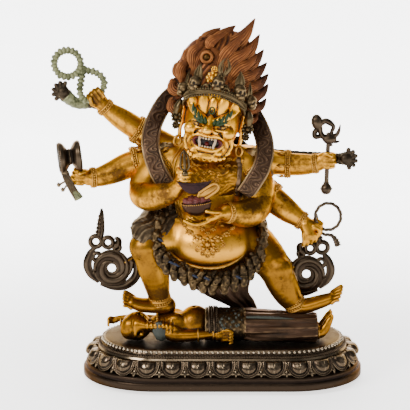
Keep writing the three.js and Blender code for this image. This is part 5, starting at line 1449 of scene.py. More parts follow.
def makeHide():
    rows = [[[x + k * half, back - sag * k * k + thick / 2, z] for k in (-1, -0.5, 0, 0.5, 1)]
            for z, x, half, back, sag, thick in hide["mantle"]]
    deep = lambda u, v: 0.28 * np.sin(9 * u + 2 * np.sin(3 * v)) * np.sin(3.1 * v)
    folds = lambda u, v: deep(u, v) + 0.1 * np.sin(31 * v + 7 * u)
    parts, nails = [sheetOver(rows, 44, 88, 1.5, folds)], []
    wrinkle = (1 + 0.05 * np.sin(np.arange(91) * 1.5) * np.linspace(0.3, 1, 91))[:, None]
    for stations in hide["legs"]:
        run = smoothRun(stations, 90)
        run[:, 3:] *= wrinkle
        parts.append(swept(run, 36, ridges=7, ridgeDepth=0.07))
        if stations[-1][0] < 0:  # the shank below the fist is corroded like the rosary
            green = swept(run[66:86] + (0, 0, 0, 0.06, 0.06), 36, ridges=7, ridgeDepth=0.07)
            addPiece("hideShank", green, "verdigris", "elephant_hide")
    for (x, y, z), (ox, oz) in hide["feet"]:
        clay = Clay((x - 5.4, y - 3.4, z - 5), (x + 5.4, y + 3.6, z + 5), hide["footGrain"])
        clay.press(ball((x - ox * 1.2, y, z - oz * 1.2), (2.0, 1.7, 2.0)), 0.5)
        for angle in (-1.35, -0.8, -0.27, 0.27, 0.8, 1.35):  # fanned toes
            dx, dz = (ox * math.cos(angle) - oz * math.sin(angle),
                      oz * math.cos(angle) + ox * math.sin(angle))
            spot = lambda r, forward, w: [x - ox + dx * r, y - forward, z - oz + dz * r, w]
            clay.press(limb([spot(0.8, 0.2, 0.7), spot(2.3, 0.2, 0.72), spot(2.9, 0.2, 0.7)], 4), 0.06)
            nails.append(swept([spot(2.6, 0.55, 0.5), spot(3.4, 0.55, 0.25)], 8))
        parts.append(clay.skin())
    addPiece("elephantHide", parts, "hide", "elephant_hide", 0.0005)
    addPiece("hideNails", nails, "bronze", "elephant_hide", 0.0004)


# The scarf: one engraved ribbon arched behind the head, its ends in front of the shoulders.
scarf = {
    "path": [[-17.4, -8.6, 49.6], [-19.9, -8.0, 54], [-21.8, -6.8, 59.4], [-22.2, -3.8, 64],
             [-20.8, 1.4, 68.8], [-17.2, 7.4, 74], [-10.6, 12.4, 78.4], [-4, 14, 79.6], [2.6, 13.2, 76.8],
             [8, 8.8, 71.4], [11.8, 1.6, 65.4], [13.0, -3.6, 60.4], [12.0, -7, 55.4], [9.6, -8.2, 51],
             [6.6, -8.9, 46.6]],
    "width": 5.3,
    "thick": 0.85,
}


def makeScarf():
    def scrolls(u, v):
        s, across = v * 92, (u - 0.5) * 2
        vine = np.exp(-((across - 0.5 * np.sin(s)) / 0.12) ** 2)
        curlX, curlY = (np.mod(s, np.pi) - np.pi / 2) / 2.2, across + 0.45 * np.sign(np.sin(s))
        curl = np.cos(12 * np.sqrt(curlX**2 + curlY**2) + 1.2 * np.arctan2(curlY, curlX))
        border = np.exp(-((np.abs(across) - 0.8) / 0.06) ** 2)
        return 0.17 * np.maximum(vine, 0.8 * np.clip(curl, 0, 1) * (np.abs(across) < 0.72)) - 0.14 * border

    sway = lambda u, v: 0.12 * np.sin(40 * v + 3 * u)
    ribbon = strap(scarf["path"], scarf["width"], scarf["thick"], 30, 420, sway, scrolls)
    addPiece("scarf", ribbon, "scarf", "shoulder_scarf", 0.0003)
    path = smoothRun(scarf["path"], 160)
    side = unitRows(np.cross(np.gradient(path, axis=0), (0, 1, 0))) * (scarf["width"] / 2 - 0.12)
    addPiece("scarfEdging", [cord(path - side, 0.3), cord(path + side, 0.3)], "brass", "shoulder_scarf",
             0.0004)


# The two scarf ends: a great ridged volute with smaller curls over it and a berried spike.
volute = {
    "right": ((-35, 2.4, 21), [[-30.8, 2.4, 22], [-25.6, 4.6, 24.6], [-18, 6, 29], [-13.8, 5.4, 30]]),
    "left": ((26.6, 2.4, 19.1), [[22.6, 2.4, 20.4], [18, 5, 25.4], [10.4, 6.4, 30.6], [7, 5.4, 31.6]]),
    "radius": 6.1,
    "eye": 1.5,
    "depth": 0.86,
    # leaves round the disc: stations, steps, sides, ridges, their depth
    "leaves": [
        ([[-3.6, 0, -5.2, 0.5, 0.5], [0.6, 0, -6.2, 1.0, 0.8], [4.6, 0, -5.6, 1.25, 0.9],
          [7.6, 0, -2.8, 1.35, 0.9], [8.3, 0, 1.2, 1.3, 0.85], [7.4, 0, 5.6, 1.2, 0.8]], 40, 22, 5, 0.16),
        ([[-4.2, 0, -4.6, 0.5, 0.4], [-6.6, 0, -2, 1.1, 0.7], [-7.6, 0, 1.2, 1.35, 0.8],
          [-6.7, 0, 4.6, 1.1, 0.75], [-5.2, 0, 6.6, 0.6, 0.5]], 30, 20, 5, 0.14),
        ([[0.4, 0, 6.2, 0.9, 0.7], [1.9, 0, 7.4, 1.1, 0.8], [2.2, 0, 9, 0.9, 0.7], [1.2, 0, 9.9, 0.4, 0.4]],
         20, 16, 4, 0.14),
        ([[-3.8, 0, 9.6, 1.0, 0.7], [-3.4, 0, 11.8, 1.15, 0.8], [-3.2, 0, 14.6, 1.0, 0.75],
          [-3, 0, 17.2, 0.7, 0.6], [-3, 0, 19.2, 0.3, 0.3]], 30, 24, 6, 0.16),
        ([[3.6, 0, -3.4, 1.0, 0.5], [5.6, 0, -0.6, 1.1, 0.5], [6.4, 0, 2.4, 1.0, 0.5]], 16, 14, 3, 0.16),
    ],
    "rings": [(-4.9, 8.6, 1.75, 0.8), (-1.1, 8.3, 1.6, 0.78), (-4.6, 3.6, 1.25, 0.7), (1.8, 6.6, 1.0, 0.6)],
}


def voluteShape():
    radius, eye, deep = volute["radius"], volute["eye"], volute["depth"]
    middle, half = (radius + eye) / 2, (radius - eye) / 2
    disc = [[math.cos(a) * middle, 0, math.sin(a) * middle, half * 0.94, deep * 0.62] for a in turnsOf(72)]
    parts = [swept(disc, 18, closed=True, square=True), ringOf((0, 0, 0), eye + 0.2, 0.42)]
    spin = np.linspace(0, 2 * np.pi * 0.92, 60)
    reach = radius - 0.7 - (radius - eye - 1.2) * (spin / spin[-1]) ** 1.1
    for start in (0.9, 3.4):  # two broad ridges winding in to the eye, thick in the middle of their run
        for face in (-1, 1):
            ridge = [[math.cos(start - a) * r, face * deep * 0.5, math.sin(start - a) * r,
                      0.3 + 0.62 * math.sin(math.pi * (a / spin[-1]) ** 0.8), 0.6] for a,
                      r in zip(spin, reach)]
            parts.append(swept(ridge, 12, ridges=2, ridgeDepth=0.12))
    for x, z, r, wire in volute["rings"]:
        parts += [ringOf((x, 0, z), r, wire, 10, 40),
                  *[ringOf((x, y, z), r * 0.98, wire * 0.5, 8, 40) for y in (-0.5, 0.5)]]
    for stations, steps, sides, ridges, ridgeDepth in volute["leaves"]:
        parts.append(tube(stations, steps, sides, ridges=ridges, ridgeDepth=ridgeDepth))
    for row in range(5):  # berries up the spike
        for k in (-1, 0, 1):
            x, z = -3.75 + row * 0.14 + k * (0.85 - row * 0.09), 11.4 + row * 1.25 + 0.3 * abs(k)
            for face in (-1, 1):
                parts.append(swept([[x, face * 0.35, z, 0.5], [x, face * 0.95, z + 0.1, 0.36]], 8,
                                   ref=(0, 0, 1)))
    parts.append(tube([[-5.4, -0.6, -0.8, 0.4], [-5.6, -1.0, -1.2, 0.5], [-5.6, -1.2, -1.6, 0.2]], 8, 8))
    return merged(parts)


def makeVolutes():
    shape = voluteShape()
    for side, way in (("right", 1), ("left", -1)):
        place, band = volute[side]
        co, quads, tris = moved(shape, Matrix.Translation(Vector(place)) @ Matrix.Diagonal((way, 1, 1, 1)))
        strip = tube([[*p, 1.5, 0.55] for p in band], 30, 14, ridges=3, ridgeDepth=0.15)
        addPiece("volute." + side, [(co, quads[:, ::way], tris[:, ::way]), strip], "bronze",
                 "scarf_end_" + side, 0.00045)
        line = tube([[x, y - 0.75, z + 0.9, 0.3] for x, y, z in band], 30, 8)
        addPiece("voluteLine." + side, line, "oldGilt", "scarf_end_" + side, slot="brown_bronze")


makeHide()
makeScarf()
makeVolutes()
print("stage: hide, scarf and its ends")


# What the six hands hold. Places come from the grips of the hands.
grips = {"upperLeft": (32.4, 1.4, 55.6), "middleLeft": (28.6, -2.6, 34.6)}
rosary = {
    "loop": ((-47.9, 1.4, 85.9), 4.12),
    "strands": [
        [[-50.4, 82.2], [-47.4, 81.8], [-43.8, 83.4], [-40.4, 83.5], [-37.6, 82], [-36.6, 79.4], [-38, 76.2]],
        [[-43, 84.6], [-43.8, 80.6], [-44.2, 77], [-43, 74.6], [-40, 74.8]],
    ],
    "bead": 1.27,
    "pitch": 1.22,
    "stretch": (0.62, 0.96, 0.96),
    "uneven": 0.06,
}


def makeRosary():
    (x, y, z), radius = rosary["loop"]
    bead, row = rosary["bead"], (rosary["pitch"], rosary["bead"], rosary["stretch"], rosary["uneven"])
    loop = [[x + radius * math.cos(a), y, z + radius * math.sin(a)] for a in turnsOf(48)]
    parts = [beads(loop, *row, closed=True), cord(loop, bead * 0.6, closed=True)]
    for k, strand in enumerate(rosary["strands"]):
        run = smoothRun([[a, 1.7, b] for a, b in strand], 40)
        parts += [beads(run, *row, seed=k + 2), cord(run, bead * 0.6)]
    addPiece("rosaryBeads", parts, "verdigris", "skull_rosary", 0.0004)


drum = {
    "centre": (-47.2, -4.7, 57.8),
    "half": 3.22,
    "radius": 4.84,
    "waist": 2.0,
    # radius and height of one bowl from its head to the waist, as shares of the drum's
    "bowl": [(0.8, 0.95), (0.86, 1), (0.95, 1), (1, 0.93), (1, 0.82), (0.96, 0.76), (0.97, 0.68), (0.86, 0.5),
             (0.66, 0.3)],
    "sash": [[-48.6, -6.6, 53.4], [-47.6, -6.8, 50.8], [-46.2, -6.7, 48], [-44.5, -6.6, 45]],
    "link": [[-47.4, -5.4, 56, 0.8], [-48.4, -6.2, 54.4, 0.85], [-48.6, -6.6, 52.8, 1.0]],
    "tassel": [[-45.6, -6.7, 47.4, 0.9, 0.5], [-44.9, -6.6, 46, 1.25, 0.6], [-44.3, -6.6, 44.9, 1.3, 0.6]],
}


def makeDrum():
    half, radius, waist = drum["half"], drum["radius"], drum["waist"]
    bowl = [[0.02, -half * 0.93], *[[radius * r, -half * h] for r, h in drum["bowl"]],
            [waist * 1.1, -half * 0.12]]
    profile = bowl + [[waist, 0]] + [[r, -h] for r, h in reversed(bowl)]
    place = (Matrix.Translation(Vector(drum["centre"])) @ Matrix.Rotation(0.18, 4, "Z")
             @ Matrix.Rotation(math.pi / 2 - 0.1, 4, "Y"))
    rims = [beads(levelCircle(radius * 0.9, end * half, 40), 0.62, 0.3, closed=True) for end in (-1, 1)]
    waistCord = cord(levelCircle(waist * 1.05), 0.5, 9, ref=(0, 0, 1), closed=True)
    addPiece("drum", [turned(profile, 40), *rims, waistCord], "bronze", "hand_drum", 0.0004, place=place)
    leafy = lambda u, v: 0.12 * np.cos(3.1 * (u - 0.5) * 9) * np.cos(26 * v + 5 * np.abs(u - 0.5))
    parts = [strap(drum["sash"], 2.5, 0.8, 20, 60, None, leafy), tube(drum["link"], 10, 12)]
    for x, z in ((-50.4, 49.4), (-49.2, 47.9)):  # the two striker balls on their cords
        parts.append(swept([[-48.2, -6.6, z + 1.2, 0.32], [x + 0.4, -6.6, z + 0.2, 0.34]], 8))
        parts.append(tube([[x + 0.5, -6.6, z + 0.2, 0.3], [x + 0.1, -6.6, z, 0.72], [x - 0.4, -6.6, z, 0.7],
                           [x - 0.7, -6.6, z, 0.2]], 8, 10))
    addPiece("drumSash", parts, "fur", "hand_drum", 0.0004)
    tassel = tube(drum["tassel"], 12, 30, ridges=9, ridgeDepth=0.12)
    addPiece("drumTassel", tassel, "verdigris", "hand_drum", 0.0004)


trident = {
    "butt": -8.9,  # below the grip
    "length": 16.4,
    "radius": 0.72,
    "knob": [[0.02, -1.85], [0.9, -1.7], [1.5, -1.1], [1.75, -0.2], [1.7, 0.5], [1.35, 1.2], [0.9, 1.6],
             [1.0, 1.9], [0.75, 2.2]],
    "vase": [[0.75, -2.3], [1.2, -2.0], [0.8, -1.6], [1.5, -1.2], [2.2, -0.3], [2.25, 0.4], [1.7, 1.2],
             [0.9, 1.6], [1.1, 2.0], [0.5, 2.3]],
    "bulb": [[0.02, -2.6], [0.9, -2.3], [1.6, -1.2], [1.85, 0], [1.6, 1.3], [0.9, 2.3], [0.02, 2.6]],
    "prongs": [
        [[32.6, 62.8, 0.9], [31.2, 63.2, 0.85], [30.4, 64.4, 0.8], [29.9, 66.2, 1.0], [29.6, 67.4, 0.8]],
        [[29.8, 66, 0.55], [28.6, 64.6, 0.75], [28.8, 63.2, 0.8], [30.2, 63.2, 0.6], [31.4, 63.8, 0.5]],
        [[30, 67, 0.8], [31.8, 68, 0.85], [33.2, 67.5, 0.85], [34.4, 66.2, 0.6], [33.8, 64.4, 0.55],
         [34.6, 62.8, 0.75]],
        [[34, 62.6, 0.75], [35.6, 64.0, 0.6], [36.2, 65.4, 0.42], [36.5, 66.9, 0.15]],
        [[34, 61.8, 0.55], [35.2, 61.5, 0.45], [36.4, 61.7, 0.2]],
    ],
}


def makeTrident():
    x, y, z = grips["upperLeft"]
    foot, radius = z + trident["butt"], trident["radius"]
    top = [x + 0.5, y, foot + trident["length"], radius * 0.9]
    knob = [turned(trident["knob"], 24), beads(levelCircle(1.7), 0.7, 0.3, closed=True)]
    parts = [tube([[x, y, foot, radius], [x + 0.25, y, z, radius], top], 20, 14),
             moved(merged(knob), Matrix.Translation((x, y, foot))), moved(turned(trident["vase"], 24),
                   Matrix.Translation((x + 0.8, y, 62.3)) @ Matrix.Diagonal((1, 0.62, 0.95, 1)))]
    for prong in trident["prongs"]:
        parts.append(tube([[a, y, b, r] for a, b, r in prong], 26, 18, ridges=4, ridgeDepth=0.1))
    parts.append(moved(turned(trident["bulb"], 24), Matrix.Translation((29.3, y, 67.6))
                       @ Matrix.Rotation(-0.2, 4, "Y") @ Matrix.Diagonal((1, 0.85, 1, 1))))
    addPiece("tridentStaff", parts, "bronze", "trident", 0.0004)


def makeNoose():
    x, y, z = grips["middleLeft"]
    laid = {"ridges": 3, "ridgeDepth": 0.2, "twist": 0.42}  # three twisted strands
    tail = [[x + 0.6, y, z + 1.6, 0.5], [x + 2.6, y, z - 1.4, 0.5], [x + 5.4, y, z - 2, 0.55],
            [x + 6.8, y, z - 3.6, 0.85], [x + 7.5, y, z - 5.3, 0.95]]
    parts = [ringOf((x + 4.2, y, z + 4), 3.98, 0.5, 12, 60, 1.06, **laid), tube(tail, 40, 12, **laid)]
    addPiece("nooseRope", parts, "bronze", "noose", 0.0003, slot="gilt_copper")


knife = {
    "centre": (-8.6, -20.6, 52.6),
    "half": 5.5,
    "depth": 4.3,
    "thick": 0.78,
    "collar": [[0.02, -0.9], [0.9, -0.7], [1.05, 0], [0.85, 0.5], [0.5, 0.9]],
}


def makeKnife():
    (bx, by, bz), half, deep = knife["centre"], knife["half"], knife["depth"]
    share = np.linspace(0, 1, 9)[:, None]
    arc = lambda a, b, c: (1 - share) ** 2 * a + 2 * share * (1 - share) * b + share**2 * c
    top = arc((-half, 0.6), (0, -0.9), (half * 0.99, 0.9))
    lower = arc((-half, 0.55), (-half * 0.2, -deep * 1.55), (half * 0.72, -deep * 0.22))
    spots = lambda edge: [[bx + a, by - 0.4, bz + b] for a, b in edge]
    rows = [[a, [(p + q) / 2 for p, q in zip(a, b)], b] for a, b in zip(spots(lower), spots(top))]
    groove = lambda u, v: -0.08 * np.exp(-((u - 0.82) / 0.03) ** 2) + 0.05 * np.exp(-((u - 0.9) / 0.03) ** 2)
    blade = sheetOver(rows, 30, 70, knife["thick"], None, groove, ends=5)
    addPiece("knifeBlade", blade, "blade", "flaying_knife", 0.0003)
    parts = [tube([[-11.4, by, 51.6, 0.7], [-11.5, by, 54.6, 0.5], [-11.6, by, 62, 0.32]], 12, 10),
             moved(turned(knife["collar"], 20), Matrix.Translation((-11.5, by, 55.4)))]
    for ax, ay in ((1.25, 0), (0, 0.9), (-1.25, 0), (0, -0.9)):  # the four prongs of the half sceptre
        parts.append(tube([[-11.55, by, 56, 0.3], [-11.55 + ax * 0.9, by + ay * 0.9, 57, 0.36],
                           [-11.6 + ax, by + ay, 58.8, 0.36], [-11.7 + ax * 0.7, by + ay * 0.7, 61, 0.32],
                           [-11.75, by, 62.3, 0.2]], 16, 8))
    addPiece("knifeHandle", parts, "olive", "flaying_knife", 0.0003)
    start, end = Vector((-6.6, by - 0.7, 48.6)), Vector((-2.6, by - 0.7, 51.2))  # rim of the slotted tongue
    along = (end - start).normalized()
    aside = along.cross(Vector((0, 1, 0))) * 1.15
    slot = [start + aside, end + aside, end + along * 1.2, end - aside, start - aside, start - along * 1.2]
    rim = smoothRun([[*p, 0.42] for p in slot + slot[:1]], 48)[:-1]
    tongue = swept([[*(start - along), 0.8, 0.3], [*(end + along), 0.8, 0.3]], 10)
    addPiece("knifeGrip", [swept(rim, 8, closed=True), tongue], "oldGilt", "flaying_knife", 0.0003)


cup = {
    "centre": (-8.1, -19.6, 46.6),
    "radius": 4.6,
    "height": 4.3,
    "wall": 0.6,
    "squash": 0.86,
    # radius and depth of the bowl as shares of the cup's, from its foot to near the lip
    "bowl": [(0.34, 0.97), (0.6, 0.84), (0.84, 0.6), (0.96, 0.34), (0.98, 0.14)],
    # lumps of what it holds: across, forward, radius
    "lumps": [(-3, -1, 1.1), (-1.5, -1.8, 1.25), (0.2, -1.9, 1.3), (1.9, -1.6, 1.2), (3.1, -0.8, 1.0),
              (0.6, 0.4, 1.5), (-1.4, 0.6, 1.4)],
}


def makeCup():
    radius, height, wall = cup["radius"], cup["height"], cup["wall"]
    outer = [[0.02, -height], *[[radius * r, -height * h] for r, h in cup["bowl"]], [radius, -0.2],
             [radius * 0.97, 0]]
    inner = [[max(0.02, r - wall), min(h + wall, -0.02)] for r, h in reversed(outer)]
    place = (Matrix.Translation(Vector(cup["centre"])) @ Matrix.Rotation(-0.1, 4, "Y")
             @ Matrix.Diagonal((1, cup["squash"], 1, 1)))
    addPiece("cupBowl", turned(outer + inner, 48), "cup", "skull_cup", 0.0005, place=place)
    rim = [beads(levelCircle(radius * 0.95, -0.34, 48), 0.62, 0.26, closed=True),
           cord(levelCircle(radius * 0.93, -0.9, 48), 0.14, 6, ref=(0, 0, 1), closed=True)]
    addPiece("cupRim", rim, "oldGilt", "skull_cup", 0.0003, place=place)
    x, y, z = cup["centre"]
    clay = Clay((x - 4.8, y - 4, z - 2), (x + 4.8, y + 4, z + 3), 0.17)
    clay.press(ball((x, y, z - 0.3), (4.1, 3.3, 1.6)))
    for dx, dy, r in cup["lumps"]:
        clay.press(ball((x + dx, y + dy, z + 0.5 + 0.06 * dx), r), 0.2)
    clay.ripple((x - 4.7, y - 3.9, z - 1.9), (x + 4.7, y + 3.9, z + 2.9),
                lambda a, b, c: 0.12 * np.sin(3.4 * a + 1.5 * np.sin(2.5 * b)) * np.sin(3.8 * b + 2 * c))
    addPiece("cupContents", clay.skin(), "flesh", "skull_cup", 0.0004)


makeRosary()
makeDrum()
makeTrident()
makeNoose()
makeKnife()
makeCup()
print("stage: things in the hands")


# The elephant-headed figure lying on its back under the feet.
lying = {
    "grain": 0.33,
    "forms": [
        # head, domed crown
        (0.8, (-26.8, -5.6, 4.3), (4.5, 5.0, 4.5)), (0.8, (-29.4, -6.4, 3.6), (2.6, 3.6, 3.4)),
        (0.8, (-29, -7.6, 5.2), (2.2, 2.1, 2.2)), (0.8, (-29, -3.6, 5.2), (2.2, 2.1, 2.2)),
        (0.8, (-24.6, -8.4, 5.4), (1.6, 1.5, 1.9)),  # cheek
        *[form for y, z in ((-10.0, 2.7), (-6.6, 8.3)) for form in (  # eyes, each under a brow
            (-0.3, (-25.4, y, z), (1.3, 1.1, 1.1)), (0.12, (-25.2, y * 0.975, z * 0.97), (0.75, 0.7, 0.7)),
            (0.25, [[-27, y, z - 0.6, 0.4], [-27.1, y - 0.1, z + 0.2, 0.5], [-26.6, y, z + 1.0, 0.4]], 6))],
        (-0.3, [[-27.9, -9.6, 1.6, 0.3], [-28, -10.3, 4.4, 0.3], [-28, -9, 7.6, 0.3],
                [-28, -6.2, 8.9, 0.3]], 16),  # the edge of the cap
        (0.6, [[-26.2, -8.8, 5.6, 1.7], [-24, -9.5, 5.3, 1.5], [-21.4, -10.1, 5.4, 1.3],
               [-18.4, -10.5, 5.5, 1.1], [-15.6, -10.7, 5, 0.9], [-13.4, -10.9, 4.2, 0.7],
               [-12.6, -10.9, 3.4, 0.5]], 24),  # trunk
        (0.8, (-15.6, -5.2, 4.5), (7.8, 5.6, 4.4)),
        (0.9, (-14.6, -8, 7.2), (2.4, 2.2, 1.9)), (0.9, (-14.6, -2.6, 7.2), (2.4, 2.2, 1.9)),  # breasts
        (0.8, (-8.6, -5.2, 5.4), (5, 5.6, 5.3)), (-0.6, (-8.9, -5.6, 10.7), 0.5),  # belly and navel
        (0.5, [[-18.4, -8.4, 4.2, 2.3], [-15.4, -10.6, 2.7, 2.1], [-11.2, -11.2, 2.6, 1.9],
               [-7, -11.3, 2.9, 1.6], [-3.6, -11.2, 3.1, 1.25]], 16),  # near arm, then the far one
        (0.5, [[-17, -1, 3.8, 2.2], [-22, 0.8, 4.4, 1.7], [-27, 1.4, 4.8, 1.3], [-31, 1.3, 5, 1.0],
               [-33.6, 1, 4.8, 0.9]], 16),
    ],
    # place, way and size of each hand
    "hands": [(-1.2, -11.2, 2.7, 1, 1), (-34, 0.9, 4.4, -0.55, 0.62)],
    "skirt": [[-8, -5.2, 4.9, 5.2, 6.8], [2, -5.2, 4.8, 5, 6.8], [15, -5.2, 4.4, 4.6, 6.2],
              [28, -5.2, 4.1, 4.3, 5.6]],
    "thigh": [[10, -9, 3.2, 3.0], [20, -9, 3.0, 2.9], [28, -8.6, 2.8, 2.7]],
    "ear": [[[-21.2, -10.6, 6.6], [-19.6, -10.9, 7.0], [-18.2, -10.6, 6.2]],
            [[-21.8, -10.9, 3.8], [-19.2, -11.6, 3.6], [-16.8, -10.9, 3.4]],
            [[-20.4, -11.0, 1.2], [-19, -11.2, 0.9], [-17.8, -10.9, 1.3]]],
    # bangles: centre and radius
    "hoops": [(-7.6, -11, 2.75, 1.85), (-20.6, 0.5, 3.6, 2.05), (-32.2, 1.2, 3.75, 1.55),
              (-2.9, -11, 3.05, 1.5), (30, -8, 2.7, 1.85), (30, -2.4, 2.7, 1.85)],
    "necklace": [[-20.2, -10.4, 5.6], [-20.4, -8.8, 8], [-20.4, -5.4, 8.9], [-20.4, -2.2, 8]],
    "hem": [[7.4, -9.6, 8.1, 0.4], [13, -9.4, 7.9, 0.5], [20, -9.2, 7.4, 0.45], [27.6, -8.9, 6.7, 0.3]],
}


# Carves away what the two feet stand in and adds what is left as a piece.
def addLying(name, clay, finish, scale=0.0005):
    for side in ("right", "left"):
        grownSole = [[x, y, z, r + 0.15] for x, y, z, r in feet[side]["sole"]]
        clay.press(limb(grownSole, 9, (1, 1.5)), 0.1, -1)
    addPiece(name, clay.skin(), finish, "trampled_figure", scale)


def makeLying():
    clay = Clay((-39.4, -13.6, 0.16), (36, 4.6, 11.4), lying["grain"])
    clay.sculpt(lying["forms"])
    for x, y, z, step, size in lying["hands"]:
        clay.press(ball((x, y, z), (2.0 * size, 1.3 * size, 1.7 * size)), 0.3)
        for k in range(4):
            top = z + (1.5 - k) * size
            clay.press(limb([[x + step, y - 0.3, top, 0.6 * size],
                             [x + step * 3, y - 0.9, top + 0.3, 0.55 * size],
                             [x + step * 4.2, y - 1.1, top - 0.3, 0.5 * size],
                             [x + step * 3.4, y - 1.6, top - 0.8, 0.4 * size]], 8), 0.1)
    clay.ripple((-24, -13.4, 3.8), (-15.5, -9.2, 7.2), lambda x, y, z: 0.17 * np.sin(x * 5.2))
    addLying("lyingFigure", clay, "giltInShade")
    run = smoothRun(lying["skirt"], 12)
    high = run[:, 3].mean() / run[:, 4].mean()
    turnOf = lambda y, z: np.arctan2(z - 4.2, y + 5.2)
    folds = lambda x, y, z: 0.26 * np.sin(turnOf(y, z) * 13 + x * 0.16) + 0.1 * np.sin(turnOf(y, z) * 31)
    weave = lambda x, y, z: 0.11 * np.sin(x * 3.1) * np.sin(turnOf(y, z) * 17)
    for name, start, end, pattern, finish in (("lyingSash", -5.5, 7.2, weave, "brass"),
                                              ("lyingSkirt", 6.6, 29.6, folds, "scarf")):
        clay = Clay((-12, -13.2, 0.16), (29.6, 3.6, 11.2), lying["grain"])
        clay.press(limb(run[:, [0, 1, 2, 4]], 20, (2, high)), 0.4)
        clay.press(limb(lying["thigh"], 8), 1.0)
        clay.ripple((-11, -13, 0.2), (29.4, 3.4, 11), pattern)
        x = clay.axes[0][:, None, None]
        clay.field = np.maximum(clay.field, np.maximum(start - x, x - end))
        addLying(name, clay, finish)
    clay = Clay((24.4, -12.6, 0.16), (36, 2.4, 11), 0.3)
    for y in (-8, -2.4):
        clay.press(limb([[27, y, 3.2, 1.8], [30.4, y, 2.6, 1.65], [32.2, y, 4.6, 1.4], [33.2, y, 6.6, 1.15],
                         [33.9, y, 7.8, 0.8]], 16), 0.5)
        for k in range(5):
            clay.press(ball((33.8 + 0.05 * k, y - 1.0 + k * 0.5, 8.6 - 0.14 * k), (0.45, 0.32, 0.7)), 0.12)
    addLying("lyingFeet", clay, "giltInShade", 0.0006)


# An arch over the lying body: how far round it runs, then its half width and height about a middle.
def archOf(x, first, last, steps, half, high, middle):
    turns = np.linspace(math.radians(first), math.radians(last), steps)
    return np.column_stack([x(turns), -5.2 - half * np.cos(turns), middle + high * np.sin(turns)])


def dressLying():
    waist, flecks = [], []
    for x, high, half in ((-4.4, 5.35, 7.1), (-2.9, 5.3, 7.05)):  # jewelled waist band
        arch = archOf(lambda a: x + 0.3 + 0 * a, -12, 192, 44, half * 0.98, high * 0.98, 4.9)
        waist += [cord(arch, 0.42, ref=(1, 0, 0)), beads(arch + (0.72, 0, 0), 0.7, 0.34)]
    for k, x in enumerate((-0.2, 1.1, 2.5, 3.9, 5.4)):  # worn flecks of colour on the sash
        arch = archOf(lambda a: x + 0.5 * np.sin(9 * a + k * 2), 8 + 3 * k, 172, 40, 6.95, 5.0, 4.5)
        flecks.append(beads(arch, 1.1 + 0.17 * k, 0.36, (1.3, 0.8, 1), 0.5, seed=k))
    flecks.append(tube(lying["hem"], 30, 8))
    ear = sheetOver(lying["ear"], 18, 24, 0.5, lambda u, v: 0.12 * np.sin(9 * v + 3 * u))
    bright = [swept([[x, y + math.cos(a) * r, z + math.sin(a) * r, 0.32] for a in turnsOf(24)], 8,
                    ref=(1, 0, 0), closed=True) for x, y, z, r in lying["hoops"]]
    bright.append(beads(smoothRun(lying["necklace"], 24), 0.7, 0.4))
    for name, parts, finish in (("lyingColours", flecks, "greyGreen"), ("lyingBelt", waist, "bronze"),
                                ("lyingEar", ear, "greyGreen"), ("lyingJewels", bright, "oldGilt")):
        addPiece(name, parts, finish, "trampled_figure", 0.0004)


# The lotus plinth, in millimetres: every level is the same long oval, moved in or out.
plinth = {
    "foot": [(59.9, 0), (59.9, 5.2), (59.5, 5.9), (58.8, 6.1), (58.2, 6.5), (58.3, 7.2), (58.0, 7.8),
             (58.4, 8.3), (58.4, 9.4), (58.0, 10.2), (56.2, 10.7), (50, 10.8)],
    "body": [(50, 10.6), (55.4, 10.7), (54.4, 13.5), (53, 18.5), (50.6, 23.5), (49.4, 25.7), (48.9, 26.5),
             (48.4, 27), (48, 29.4), (47.4, 29.85), (46, 29.85)],
    "deck": [(40, 29.4), (46.9, 29.5), (46.9, 29.9), (46.5, 30), (40, 30)],
    "petals": 28,
    "petalRings": [0.01, 1.2, 2.4, 3.5, 4.4, 5.1, 5.6, 5.82, 6.2, 6.9, 7.35, 7.6, 7.9, 8.2, 8.45, 8.85, 9.1,
                   9.35, 9.6, 9.85, 10.05, 10.1],
    "boss": (8.9, 6.7, 4.6),
    "flutes": 252,
    "beads": 124,
    "millimetre": 0.001,
}


def ovalRow(radius, z, count):
    reach = 48.5 + (radius - 48) * 0.375
    arc = np.pi * radius
    stops = np.cumsum([0, reach, arc, 2 * reach, arc, reach])
    s = np.arange(count) / count * stops[-1]
    k = np.searchsorted(stops, s, side="right") - 1
    left = s - stops[k]
    on = [k == 0, k == 1, k == 2, k == 3]
    turn = np.select(on, [0 * s, left / radius, np.pi + 0 * s, left / radius + np.pi], 0) - np.pi / 2
    x = np.select(on, [left, reach + 0 * s, reach - left, -reach + 0 * s], left - reach)
    return np.column_stack([x + np.where(k % 2, np.cos(turn) * radius, 0), np.sin(turn) * radius,
                            np.full(count, z)])


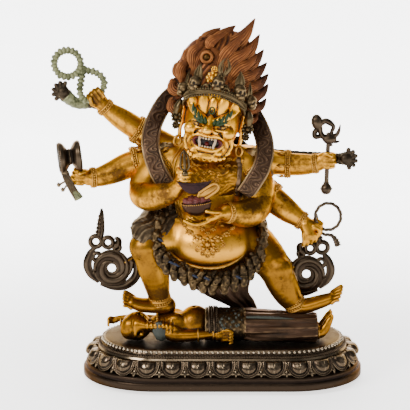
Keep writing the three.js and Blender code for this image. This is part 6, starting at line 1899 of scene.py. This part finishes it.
# One hanging petal, in millimetres about its own foot: a boss inside two raised rims shaped like a U.
def petalShape():
    d = np.array(plinth["petalRings"])[:, None]
    t = np.linspace(-1, 1, 33)
    turn = np.clip(t * 1.6, -1, 1) * np.pi / 2
    level, girth, swell = plinth["boss"]
    x = d * np.sin(turn)
    z = level + 0.9 - d * np.cos(turn) + np.clip(np.abs(t) * 1.6 - 1, 0, 1) * 3.4
    away = np.sqrt(x**2 + 1.15 * (z - level - 0.3) ** 2)
    boss = np.sqrt(np.clip(1 - (away / girth) ** 2, 0, 1)) * swell * (1 + 0.07 * np.exp(-((x / 0.5) ** 2)))
    rims = 0.6 * np.exp(-(((d - 7.9) / 0.3) ** 2)) + 0.75 * np.exp(-(((d - 9.45) / 0.38) ** 2))
    fade = np.clip((14.6 - z) / 3, 0, 1)
    slope = -1.7 + 6.9 * np.clip(z / 14, 0, 1.1) ** 1.25
    y = slope - boss - rims * fade - 0.5 + 2.2 * np.clip((d - 9.7) / 0.4, 0, 1) ** 2
    tip = swept([[10.1, 1.4, 6.4, 1.5, 1.0], [10.1, 0.2, 3.4, 1.5, 1.1], [10.1, -0.9, 1.3, 0.9, 0.8],
                 [10.1, -1.5, 0.1, 0.15, 0.2]], 10)
    return merged([gridShell(np.stack([x, y, z], -1), np.stack([x, slope + 3.4, z], -1)), tip])


def makePlinth():
    parts, mm = {}, plinth["millimetre"]
    for key in ("foot", "body", "deck"):
        rings = np.stack([ovalRow(radius, z, 360) for radius, z in plinth[key]])
        parts[key] = [outward(ringShell(rings, [[0, 0, rings[0, 0, 2]], [0, 0, rings[-1, 0, 2]]]))]
    parts["body"].append(cord(ovalRow(49.2, 26.9, 240), 0.3, 10, ref=(0, 0, 1), closed=True))
    parts["foot"].append(cord(ovalRow(57.7, 9.2, 240), 0.95, 10, ref=(0, 0, 1), closed=True))
    count = plinth["flutes"] * 6
    wave = 0.5 + 0.8 * np.abs(np.sin(np.arange(count) * np.pi / 6))
    flutes = np.column_stack([ovalRow(49.9, 25.1, count), np.full(count, 1.6), wave])
    parts["flutes"] = [swept(flutes, 10, ref=(0, 0, 1), closed=True)]
    for key, finish in (("foot", "foot"), ("body", "plinth"), ("deck", "deck"), ("flutes", "bronze")):
        addPiece("plinth." + key, parts[key], finish, "lotus_plinth", 0.0005, place=Matrix.Scale(mm, 4),
                 inMetres=True)
    petal = moved(petalShape(), Matrix.Scale(mm, 4))
    petals = copies("petal", petal, ovalRow(55.8, 10.6, 560) * mm, plinth["petals"], 1.0, 0.0, 1, "plinth",
                    closed=True)
    addPiece("lotusPetals", petals, "plinth", "lotus_plinth", 0.0005, inMetres=True)
    # the bead row, with its painted highlights
    values = {"Count": plinth["beads"], "Radius": 1.4 * mm, "Stretch": (1, 1, 1.12), "Unevenness": 0.05,
              "Seed": 3, "Finish": finishes["highlitBeads"]}
    pearls = beadMaker.grow(ovalRow(48.2, 28.35, 560) * mm, values, closed=True)
    addPiece("plinthBeads", pearls, "highlitBeads", "lotus_plinth", 0.0004, inMetres=True)


makeLying()
dressLying()
makePlinth()
print("stage: lying figure and plinth")
